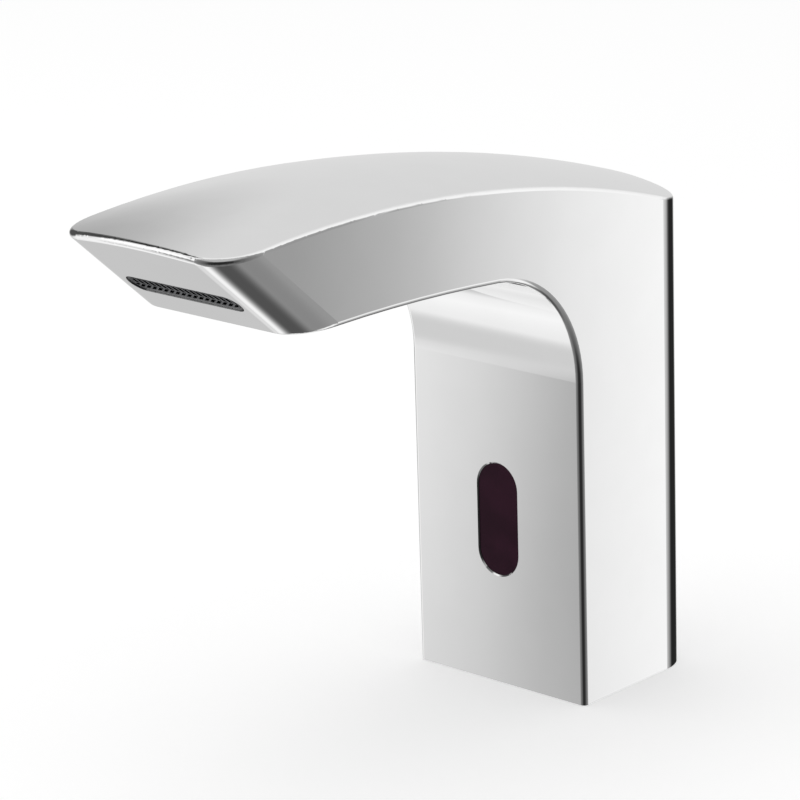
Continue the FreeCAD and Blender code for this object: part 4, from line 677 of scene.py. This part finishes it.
def raised(mesh: BMesh, face: BMFace, rise: float) -> BMFace:
    """Pulls a face up along Z, with walls below it.

    Args:
        mesh: The face's mesh.
        face: The face, which stays where it was.
        rise: How far it is pulled.

    Returns:
        The new face at the top.
    """
    made = bmesh.ops.extrude_face_region(mesh, geom=[face])["geom"]
    top = [item for item in made if isinstance(item, BMVert)]
    bmesh.ops.translate(mesh, vec=(0, 0, rise * MM), verts=top)
    return next(item for item in made if isinstance(item, BMFace))


def obround_prism(length: float, width: float, span: Pair) -> BMesh:
    """A bar with two round ends, lying along X.

    Args:
        length: Its whole length.
        width: Its whole width.
        span: Its lowest and highest point.

    Returns:
        The bar's mesh, in metres.
    """
    mesh = bmesh.new()
    raised(mesh, obround_face(mesh, length, width, span[0]), span[1] - span[0])
    bmesh.ops.recalc_face_normals(mesh, faces=mesh.faces)
    return mesh


def joined(first: BMesh, operation: str, second: BMesh) -> BMesh:
    """Cuts or joins two solids with a Boolean modifier, which is applied.

    Args:
        first: The solid that is changed, which is freed.
        operation: The modifier's operation, such as "INTERSECT".
        second: The other solid, which is freed.

    Returns:
        The resulting mesh.
    """
    base = finish_mesh(first, "joined_base")
    tool = finish_mesh(second, "joined_tool")
    step = base.modifiers.new("join", "BOOLEAN")
    step.operation = operation
    step.solver = "EXACT"
    step.object = tool
    bpy.context.view_layer.update()
    result = bpy.data.meshes.new_from_object(base.evaluated_get(bpy.context.evaluated_depsgraph_get()))
    mesh = bmesh.new()
    mesh.from_mesh(result)
    for thing in (base, tool):
        data = thing.data
        bpy.data.objects.remove(thing)
        bpy.data.meshes.remove(data)
    bpy.data.meshes.remove(result)
    return mesh


def gathered(meshes: Iterable[BMesh]) -> BMesh:
    """Puts several separate solids into one mesh.

    Args:
        meshes: The solids, which are freed.

    Returns:
        The mesh that holds them all.
    """
    whole = bmesh.new()
    for mesh in meshes:
        data = bpy.data.meshes.new("gathered")
        mesh.to_mesh(data)
        whole.from_mesh(data)
        mesh.free()
        bpy.data.meshes.remove(data)
    return whole


def box_mm(node: str) -> tuple[list[float], list[float], list[float]]:
    """A CAD node's box.

    Args:
        node: The node's name.

    Returns:
        Its lowest corner, highest corner and middle.
    """
    low, high = ([part / MM for part in corner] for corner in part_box(node))
    return low, high, [(one + two) / 2 for one, two in zip(low, high)]


def turn_and_shift(mesh: BMesh, across: Sequence[float], along: Sequence[float],
                   out: Sequence[float], middle: Sequence[float]) -> None:
    """Turns a mesh from its own axes to the given ones and shifts it.

    Args:
        mesh: The mesh.
        across: Where its X axis goes.
        along: Where its Y axis goes.
        out: Where its Z axis goes.
        middle: Where its origin goes.
    """
    turn = Matrix((across, along, out)).transposed().to_4x4()
    place = Matrix.Translation([part * MM for part in middle]) @ turn
    bmesh.ops.transform(mesh, matrix=place, verts=mesh.verts)


def to_front(mesh: BMesh, depth: float) -> None:
    """Stands a mesh that lies along X upright in the casting's front, at the window's height.

    Args:
        mesh: The mesh, whose +Z comes to look forward.
        depth: Where its origin goes along Y.
    """
    turn_and_shift(mesh, (0, 0, 1), (1, 0, 0), (0, -1, 0), (0.0, depth, box_mm("sensor_window")[2][2]))
    bmesh.ops.recalc_face_normals(mesh, faces=mesh.faces)


# ---------------------------------------------------------------- sub-assemblies

SLOTS = {entry["node"]: entry["material_slot"] for entry in frame["record"]["subparts"]}


@cache
def material_for(slot: str) -> Material:
    """Builds a material slot's finish the first time, and hands it out after that.

    Args:
        slot: The record's name for the slot.

    Returns:
        The slot's material.
    """
    return FINISHES[slot].build()


@dataclass(frozen=True)
class Screw:
    """A cap screw with a key's socket, drawn along its own Z axis with the head at the top.

    Attributes:
        radius: Thread's outer radius.
        head_radius: Head's radius, or the top's for a headless screw.
        head_height: Head's height.
        socket_radius: Half the socket's width across its corners.
        socket_depth: Socket's depth.
        pitch: Thread's pitch, drawn as rings.
        tip_radius: Radius of the cone's small end.
        tip_length: Cone's length.
        groove: Depth of the thread, as a share of its pitch.
        crest: Where each ring's crest starts and ends, as shares of its pitch.
        rounding: Radius of the head's edge, as a share of the head's height.
        ease: How far a rounded edge stands in halfway round, as a share of its radius.
        lead_in: Width of the slope into the socket.
        steps: Number of facets round the screw.
    """

    radius: float = 1.5
    head_radius: float = 2.7
    head_height: float = 1.7
    socket_radius: float = 1.425
    socket_depth: float = 1.1
    pitch: float = 0.5
    tip_radius: float = 1.2
    tip_length: float = 0.3
    groove: float = 0.6
    crest: Pair = (0.45, 0.55)
    rounding: float = 0.2
    ease: float = 0.3
    lead_in: float = 0.1
    steps: int = 24

    def solid(self, low: float, high: float) -> BMesh:
        """Turns one screw.

        Args:
            low: Its tip's height.
            high: Its top's height.

        Returns:
            The screw's mesh.
        """
        core = self.radius - self.groove * self.pitch
        neck, floor = high - self.head_height, high - self.socket_depth
        start = low + self.tip_length
        profile = [(0.0, low), (self.tip_radius, low), (core, start)]
        for turn in range(int((neck - start) / self.pitch)):
            foot = start + turn * self.pitch
            profile += [(self.radius, foot + share * self.pitch) for share in self.crest]
            profile.append((core, foot + self.pitch))
        edge = self.rounding * min(self.head_height, 1.0)
        profile += [(core, neck + 0.001), (self.head_radius, neck + 0.001), (self.head_radius, high - edge),
                    (self.head_radius - self.ease * edge, high - self.ease * edge),
                    (self.head_radius - edge, high), (self.socket_radius + self.lead_in, high),
                    (self.socket_radius, high - self.lead_in), (self.socket_radius, floor), (0.0, floor)]
        mesh = turned(profile, self.steps)
        self.cut_hexagon(mesh, floor)
        return mesh

    def cut_hexagon(self, mesh: BMesh, floor: float) -> None:
        """Pulls the round socket's wall in to a hexagon, whose corners stay.

        Args:
            mesh: The screw's mesh.
            floor: The socket's lowest point.
        """
        sixth = math.pi / 3
        for point in mesh.verts:
            off_wall = abs(point.co.xy.length - self.socket_radius * MM)
            if off_wall < 10 * CLOSE and point.co.z > (floor - 0.01) * MM:
                turn = math.atan2(point.co.y, point.co.x) % sixth - sixth / 2
                point.co.xy *= math.cos(sixth / 2) / math.cos(turn)


@dataclass
class SubAssembly:
    """Pieces that are put together first, with the CAD nodes that they are made of.

    Attributes:
        nodes: The sub-assembly's nodes.
        body: The body that its own new pieces ride on.
    """

    nodes: Names = ()
    body: str = "tap_body"

    def build(self) -> None:
        """Dresses the CAD nodes and adds the detailed pieces."""
        for name in self.nodes:
            materials = frame["nodes"][name].data.materials
            materials.clear()
            materials.append(material_for(SLOTS[name]))
            LOG.info("%s: %s", name, FINISHES[SLOTS[name]].name)
        self.add_pieces()
        LOG.info("%s: done", type(self).__name__)

    def add_pieces(self) -> None:
        """Adds the pieces that have more detail than their CAD nodes; here there are none."""

    def new_piece(self, mesh: BMesh, name: str, slot: str, body: str = "") -> Object:
        """Makes a piece with its finish.

        Args:
            mesh: The piece's mesh in its final place.
            name: The piece's name.
            slot: Its material slot.
            body: The body that it rides on, if that isn't the sub-assembly's own.

        Returns:
            The piece.
        """
        piece = finish_mesh(mesh, name)
        piece.data.materials.append(material_for(slot))
        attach(piece, body or self.body)
        LOG.info("%s: %d faces", name, len(piece.data.polygons))
        return piece

    def stand_in(self, mesh: BMesh, name: str, node: str, body: str = "") -> Object:
        """Makes a piece that is shown in a CAD node's stead, with the node's finish.

        Args:
            mesh: The piece's mesh in its final place.
            name: The piece's name.
            node: The node that it stands for.
            body: The body that it rides on, if that isn't the sub-assembly's own.

        Returns:
            The piece.
        """
        piece = self.new_piece(mesh, name, SLOTS[node], body)
        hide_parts(node)
        return piece

    def add_screws(self, screw: Screw, node: str, out: tuple[int, int, int]) -> None:
        """Adds a node's screws with their threads and sockets, one at each corner of the node's box.

        Args:
            screw: The screw's sizes.
            node: The node, whose box is as wide as one screw where they stand in one row.
            out: The direction from tip to head, along one axis.
        """
        low, high, middle = box_mm(node)
        axis = next(side for side in range(3) if out[side])
        reach = max(screw.radius, screw.head_radius)
        spots = [[low[side] + reach, high[side] - reach] if high[side] - low[side] > 3 * reach
                 else [middle[side]] for side in range(3)]
        spots[axis] = [0.0]
        across = Vector((1, 0, 0))
        screws = []
        for spot in product(*spots):
            mesh = screw.solid(*sorted((low[axis] * out[axis], high[axis] * out[axis])))
            turn_and_shift(mesh, across, Vector(out).cross(across), out, spot)
            screws.append(mesh)
        self.stand_in(gathered(screws), node + "_threaded", node)


@dataclass
class Casting(SubAssembly):
    """The one-piece chrome casting, column and arm.

    Attributes:
        lip_width: Width of the softened edge round the window's opening.
        lip_drop: How far that edge falls towards the window.
        lip_thickness: How thick it is drawn.
        lip_gap: How much narrower than the opening it is.
        window_depth: How far the window lies behind the casting's front.
    """

    nodes: Names = ("body_shell",)
    lip_width: float = 0.3
    lip_drop: float = 0.28
    lip_thickness: float = 0.05
    lip_gap: float = 0.01
    window_depth: float = 0.4

    def add_pieces(self) -> None:
        """Softens the edge of the window's opening with a sloping lip."""
        mesh = bmesh.new()
        face = obround_face(mesh, OPENING[0] - self.lip_gap, OPENING[1] - self.lip_gap, 0.0)
        bmesh.ops.inset_region(mesh, faces=[face], thickness=self.lip_width * MM, depth=-self.lip_drop * MM,
                               use_even_offset=True, use_boundary=True)
        slope = [side for side in mesh.faces if side is not face]
        bmesh.ops.delete(mesh, geom=[face], context="FACES_ONLY")
        bmesh.ops.solidify(mesh, geom=slope, thickness=self.lip_thickness * MM)
        to_front(mesh, box_mm("sensor_window")[0][1] - self.window_depth)
        self.new_piece(mesh, "window_opening_lip", "chrome_casting")


@dataclass
class Foot(SubAssembly):
    """The brass plate that takes the casting, its seal and its locking screw.

    Attributes:
        screw: The headless screw at the back.
    """

    nodes: Names = ("base_seal", "base_plate", "lock_screw")
    screw: Screw = Screw(radius=2.5, head_radius=2.3, head_height=0.3, socket_radius=1.45, socket_depth=2.0,
                         tip_radius=0.75, tip_length=1.2)

    def add_pieces(self) -> None:
        """Adds the locking screw."""
        self.add_screws(self.screw, "lock_screw", (0, 1, 0))


@dataclass
class Valve(SubAssembly):
    """The diaphragm valve block with its filter, bonnet and four screws.

    Attributes:
        screw: The screw at each corner.
        bore: Radius of the hole in the diaphragm's middle.
        middle: Radius of the part that lies on the seat.
        fold: Radius where the fold meets the clamped rim.
        thickness: The middle's thickness.
        rim_thickness: The clamped rim's thickness.
        lift: How far the middle rises when the valve is open; not used.
        eases: Width of the slope along the middle's and along the rim's edges.
        overlap: How far the fold runs into its neighbours.
        tucks: How far the fold's ends lie inside its neighbours' faces, and below the rim's top.
        under: Its lower points, sideways from its middle and up from the foot and the rim.
        over: Its upper points, sideways from its middle and up from the middle part's top.
    """

    nodes: Names = ("inlet_filter", "inlet_seal", "valve_body", "tube_seal", "valve_diaphragm",
                    "diaphragm_plate", "valve_bonnet", "valve_screws")
    screw: Screw = Screw()
    bore: float = 0.6
    middle: float = 5.7
    fold: float = 8.0
    thickness: float = 1.0
    rim_thickness: float = 1.3
    lift: float = 1.6
    eases: Pair = (0.2, 0.1)
    overlap: float = 0.05
    tucks: Pair = (0.25, 0.3)
    under: tuple[Pair, ...] = ((-0.4, 0.45), (0.3, -0.6))
    over: tuple[Pair, ...] = ((0.2, 1.2), (-0.5, 0.35))

    def add_pieces(self) -> None:
        """Adds the diaphragm in its three zones, and the four screws."""
        self.add_diaphragm()
        self.add_screws(self.screw, "valve_screws", (0, 0, 1))

    def add_diaphragm(self) -> None:
        """Adds the middle on its own body, the fold between it and the rim, and the rim that is clamped."""
        low, high, centre = box_mm("valve_diaphragm")
        foot, top, outer = low[2], high[2], (high[0] - low[0]) / 2
        seat, rim = foot + self.thickness, top - self.rim_thickness
        ease, rim_ease = self.eases
        middle = turned([(self.bore, foot), (self.middle - ease, foot), (self.middle, foot + ease),
                         (self.middle, seat - ease), (self.middle - ease, seat), (self.bore, seat)],
                        ROUND_STEPS, True, centre)
        near, far = self.middle - self.overlap, self.fold + self.overlap
        tuck, top_tuck = self.tucks
        half = (self.middle + self.fold) / 2
        below = [(half + side, base + rise) for (side, rise), base in zip(self.under, (foot, rim))]
        above = [(half + side, seat + rise) for side, rise in self.over]
        fold = turned([(near, foot + tuck), *below, (far, rim + tuck), (far, top - top_tuck), *above,
                       (near, seat - tuck)], ROUND_STEPS, True, centre)
        left, right = self.fold + rim_ease, outer - rim_ease
        clamped = turned([(self.fold, rim + rim_ease), (left, rim), (right, rim), (outer, rim + rim_ease),
                          (outer, top - rim_ease), (right, top), (left, top), (self.fold, top - rim_ease)],
                         ROUND_STEPS, True, centre)
        self.stand_in(middle, "diaphragm_middle", "valve_diaphragm", "diaphragm")
        self.stand_in(clamped, "diaphragm_rim", "valve_diaphragm")
        piece = self.stand_in(fold, "diaphragm_fold", "valve_diaphragm")
        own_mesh(piece)


@dataclass
class Solenoid(SubAssembly):
    """The latching solenoid over the valve, with its plunger and its coil.

    Attributes:
        wire: The wire's diameter over its enamel, drawn coarse enough to show.
        inner_radius: The winding's inner radius.
        swell: How far each turn stands out of the grooves beside it.
        bulge: Where a turn's flank is drawn, as a share of its height and of its swell.
        winding_steps: Number of facets round the winding.
        spring_wire: Radius of the spring's wire.
        spring_turns: Number of the spring's turns.
        spring_steps: Number of facets along one turn of the spring, and round its wire.
        stroke: How far the plunger presses the spring; not used.
    """

    nodes: Names = ("core_tube", "fixed_core", "solenoid_plunger", "plunger_seal", "plunger_spring",
                    "coil_bobbin", "coil_winding", "coil_yoke", "latch_magnet", "coil_nut")
    wire: float = 0.35
    inner_radius: float = 5.5
    swell: float = 0.09
    bulge: float = 0.25
    winding_steps: int = 48
    spring_wire: float = 0.3
    spring_turns: int = 6
    spring_steps: tuple[int, int] = (24, 10)
    stroke: float = 2.0

    def add_pieces(self) -> None:
        """Adds the winding and the spring."""
        self.add_winding()
        self.add_spring()

    def add_winding(self) -> None:
        """Adds the winding with its turns of wire."""
        low, high, middle = box_mm("coil_winding")
        foot, top, outer = low[2], high[2], (high[0] - low[0]) / 2
        turns = round((top - foot) / self.wire)
        pitch = (top - foot) / turns
        flank, groove = outer - self.bulge * self.swell, outer - self.swell
        profile = [(self.inner_radius, foot), (groove, foot)]
        for turn in range(turns):
            start = foot + turn * pitch
            profile += [(flank, start + self.bulge * pitch), (outer, start + 0.5 * pitch),
                        (flank, start + (1 - self.bulge) * pitch), (groove, start + pitch)]
        mesh = turned([*profile, (self.inner_radius, top)], self.winding_steps, True, middle)
        self.stand_in(mesh, "coil_winding_turns", "coil_winding")

    def add_spring(self) -> None:
        """Adds the spring as a coiled wire in the CAD spring's place."""
        low, high, middle = box_mm("plunger_spring")
        per_turn, sides = self.spring_steps
        steps = self.spring_turns * per_turn
        climb = (high[2] - low[2] - 2 * self.spring_wire) / steps
        start = Vector(((high[0] - low[0]) / 2 - self.spring_wire, 0, low[2] + self.spring_wire))
        mesh = bmesh.new()
        bmesh.ops.create_circle(mesh, segments=sides, radius=self.spring_wire * MM, cap_ends=True)
        bmesh.ops.rotate(mesh, cent=(0, 0, 0), matrix=Matrix.Rotation(math.pi / 2, 3, "X"), verts=mesh.verts)
        bmesh.ops.translate(mesh, vec=start * MM, verts=mesh.verts)
        bmesh.ops.spin(mesh, geom=mesh.faces[:], cent=(0, 0, 0), axis=(0, 0, 1), dvec=(0, 0, climb * MM),
                       angle=2 * math.pi * self.spring_turns, steps=steps)
        bmesh.ops.recalc_face_normals(mesh, faces=mesh.faces)
        bmesh.ops.translate(mesh, vec=(middle[0] * MM, middle[1] * MM, 0), verts=mesh.verts)
        piece = self.stand_in(mesh, "plunger_spring_wire", "plunger_spring")
        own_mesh(piece)


@dataclass
class SensorUnit(SubAssembly):
    """The window, its gasket and the board behind it.

    Attributes:
        gap: Room between the window and its opening.
        flange: How far the window's flange reaches past the opening.
        flange_thickness: The flange's thickness.
        edge: Radius of the window's rounded edge.
        edge_steps: Number of facets across that edge.
        screw: The screws through the housing's ears.
    """

    nodes: Names = ("sensor_window", "window_gasket", "sensor_housing", "sensor_screws",
                    "sensor_board", "infrared_emitter", "infrared_receiver", "status_lamp",
                    "control_chip", "board_capacitor", "board_sockets")
    gap: float = 0.1
    flange: float = 1.9
    flange_thickness: float = 1.2
    edge: float = 0.3
    edge_steps: int = 4
    screw: Screw = Screw(radius=1.05, head_radius=2.0, head_height=1.2, socket_radius=1.0, socket_depth=0.8,
                         pitch=0.45, tip_radius=0.8)

    def add_pieces(self) -> None:
        """Adds the window with its rounded edge, and the two ear screws."""
        self.add_window()
        self.add_screws(self.screw, "sensor_screws", (0, -1, 0))

    def add_window(self) -> None:
        """Adds the window: a flange behind the casting's wall and a face in the opening."""
        low, high, _ = box_mm("sensor_window")
        length, width = (side + 2 * self.flange for side in OPENING)
        mesh = obround_prism(length, width, (0.0, self.flange_thickness))
        roof = max(mesh.faces, key=lambda face: face.calc_center_median().z)
        inset = (self.flange + self.gap) * MM
        bmesh.ops.inset_region(mesh, faces=[roof], thickness=inset, use_even_offset=True)
        face = raised(mesh, roof, high[1] - low[1] - self.flange_thickness)
        bmesh.ops.delete(mesh, geom=[roof], context="FACES")
        bmesh.ops.bevel(mesh, geom=face.edges[:], offset=self.edge * MM, affect="EDGES",
                        segments=self.edge_steps, profile=0.5, material=-1)
        to_front(mesh, high[1])
        self.stand_in(mesh, "sensor_window_lens", "sensor_window")


@dataclass
class PowerPack(SubAssembly):
    """The inner frame with the battery, its contacts and the leads.

    Attributes:
        screw: The screws that hold the frame to the plate from below.
    """

    nodes: Names = ("inner_frame", "frame_screws", "battery_cradle", "battery_block",
                    "battery_contacts", "coil_lead", "battery_lead")
    screw: Screw = Screw()

    def add_pieces(self) -> None:
        """Adds the two frame screws."""
        self.add_screws(self.screw, "frame_screws", (0, 0, -1))


@dataclass
class Outlet(SubAssembly):
    """The flat outlet: nozzle, gasket, ribbed strainer and the tube that feeds it.

    Attributes:
        angle: The outlet face's slope against the level, in degrees.
        mouth: Length and width of the nozzle's mouth.
        cover: Length and width of the ribs, which rest on the nozzle's end.
        sheet_depth: From the middle of the CAD strainer out to the outlet face.
        rib_count: Number of ribs in each row.
        spare: Number of ribs past each end, before the cut.
        rib_width: Width of a rib.
        rib_past: How far a rib runs past its room before it is cut.
        spine: Width of the bar between the rows.
        rim_wall: Width of the frame round the ribs.
        lean: How far a rib of the upper and of the lower row leans along the slot, as a share of its rise.
        depths: The ribs' lowest point, their step on the nozzle's end and their tops behind the face.
        layer: From the step down to the layer of crossed ribs.
        bites: How far the ribs run into the crossed layer, and into the ribs on the step.
    """

    nodes: Names = ("outlet_gasket", "outlet_nozzle", "outlet_strainer", "water_tube")
    angle: float = 41.5
    mouth: Pair = (30.6, 4.2)
    cover: Pair = (32.2, 5.8)
    sheet_depth: float = 1.0
    rib_count: int = 19
    spare: int = 3
    rib_width: float = 0.62
    rib_past: float = 0.5
    spine: float = 0.3
    rim_wall: float = 0.3
    lean: Pair = (-0.3, -1.1)
    depths: Triple = (1.3, 0.28, 0.1)
    layer: float = 0.3
    bites: Pair = (0.05, 0.02)

    def add_pieces(self) -> None:
        """Adds the strainer: two rows of slanted ribs on either side of a spine."""
        bottom, step, top = (-depth for depth in self.depths)
        crossed = tuple(-share for share in self.lean)
        below = step - self.layer
        upper = self.ribs(self.mouth, (below - self.bites[0], step + self.bites[1]), self.lean)
        lower = joined(self.ribs(self.mouth, (bottom, below), crossed), "UNION", self.rim(bottom, step))
        mesh = joined(self.ribs(self.cover, (step, top), self.lean), "UNION", joined(upper, "UNION", lower))
        slope = math.radians(self.angle)
        up = (0.0, -math.cos(slope), math.sin(slope))
        out = (0.0, -math.sin(slope), -math.cos(slope))
        middle = [spot + self.sheet_depth * part for spot, part in zip(box_mm("outlet_strainer")[2], out)]
        turn_and_shift(mesh, (1, 0, 0), up, out, middle)
        self.stand_in(mesh, "outlet_strainer_ribs", "outlet_strainer")

    def rim(self, bottom: float, top: float) -> BMesh:
        """Makes the frame round the ribs inside the nozzle's mouth.

        Args:
            bottom: Its lowest point.
            top: Its highest point.

        Returns:
            The frame's mesh.
        """
        hole = obround_prism(*(side - 2 * self.rim_wall for side in self.mouth), (bottom - PAST, top + PAST))
        return joined(obround_prism(*self.mouth, (bottom, top)), "DIFFERENCE", hole)

    def ribs(self, room: Pair, span: Pair,
             lean: Pair) -> BMesh:
        """Makes both rows of ribs and the spine, cut to the room that they have.

        Args:
            room: Length and width of the round-ended room.
            span: Lowest and highest point.
            lean: How far the upper and the lower row lean along the slot.

        Returns:
            The ribs' mesh.
        """
        length, width = room
        pitch = self.cover[0] / self.rib_count
        size = (self.rib_width, width / 2 + self.rib_past, span[1] - span[0])
        bars = []
        for row, share in zip((1, -1), lean):
            for index in range(-self.spare, self.rib_count + self.spare + 1):
                bars.append(self.bar((index - self.rib_count / 2) * pitch, row, share, size))
        spine = bmesh.new()
        bmesh.ops.create_cube(spine, size=1.0)
        bmesh.ops.scale(spine, vec=(length * MM, self.spine * MM, size[2] * MM), verts=spine.verts)
        rows = gathered(bars)
        for mesh in (rows, spine):
            bmesh.ops.translate(mesh, vec=(0, 0, sum(span) / 2 * MM), verts=mesh.verts)
        whole = joined(rows, "UNION", spine)
        return joined(whole, "INTERSECT", obround_prism(length, width, (span[0] - PAST, span[1] + PAST)))

    def bar(self, foot: float, row: int, share: float, size: Triple) -> BMesh:
        """Makes one slanted rib, at the height of the slot's face.

        Args:
            foot: Where it starts along the slot.
            row: 1 for the upper row, -1 for the lower.
            share: How far it leans along the slot, as a share of its rise.
            size: Its width, its rise from the slot's middle line and its depth.

        Returns:
            The rib's mesh.
        """
        mesh = bmesh.new()
        bmesh.ops.create_cube(mesh, size=1.0)
        bmesh.ops.translate(mesh, vec=(0, 0.5, 0), verts=mesh.verts)
        bmesh.ops.scale(mesh, vec=Vector(size) * MM, verts=mesh.verts)
        for point in mesh.verts:
            point.co.x += foot * MM + share * point.co.y
        bmesh.ops.scale(mesh, vec=(1, row, 1), verts=mesh.verts)
        bmesh.ops.recalc_face_normals(mesh, faces=mesh.faces)
        return mesh


def main() -> None:
    """Builds the studio and every sub-assembly."""
    Studio().build()
    for kind in (Casting, Foot, Valve, Solenoid, SensorUnit, PowerPack, Outlet):
        kind().build()


if __name__ == "__main__":
    logging.basicConfig(level=logging.INFO)
    main()
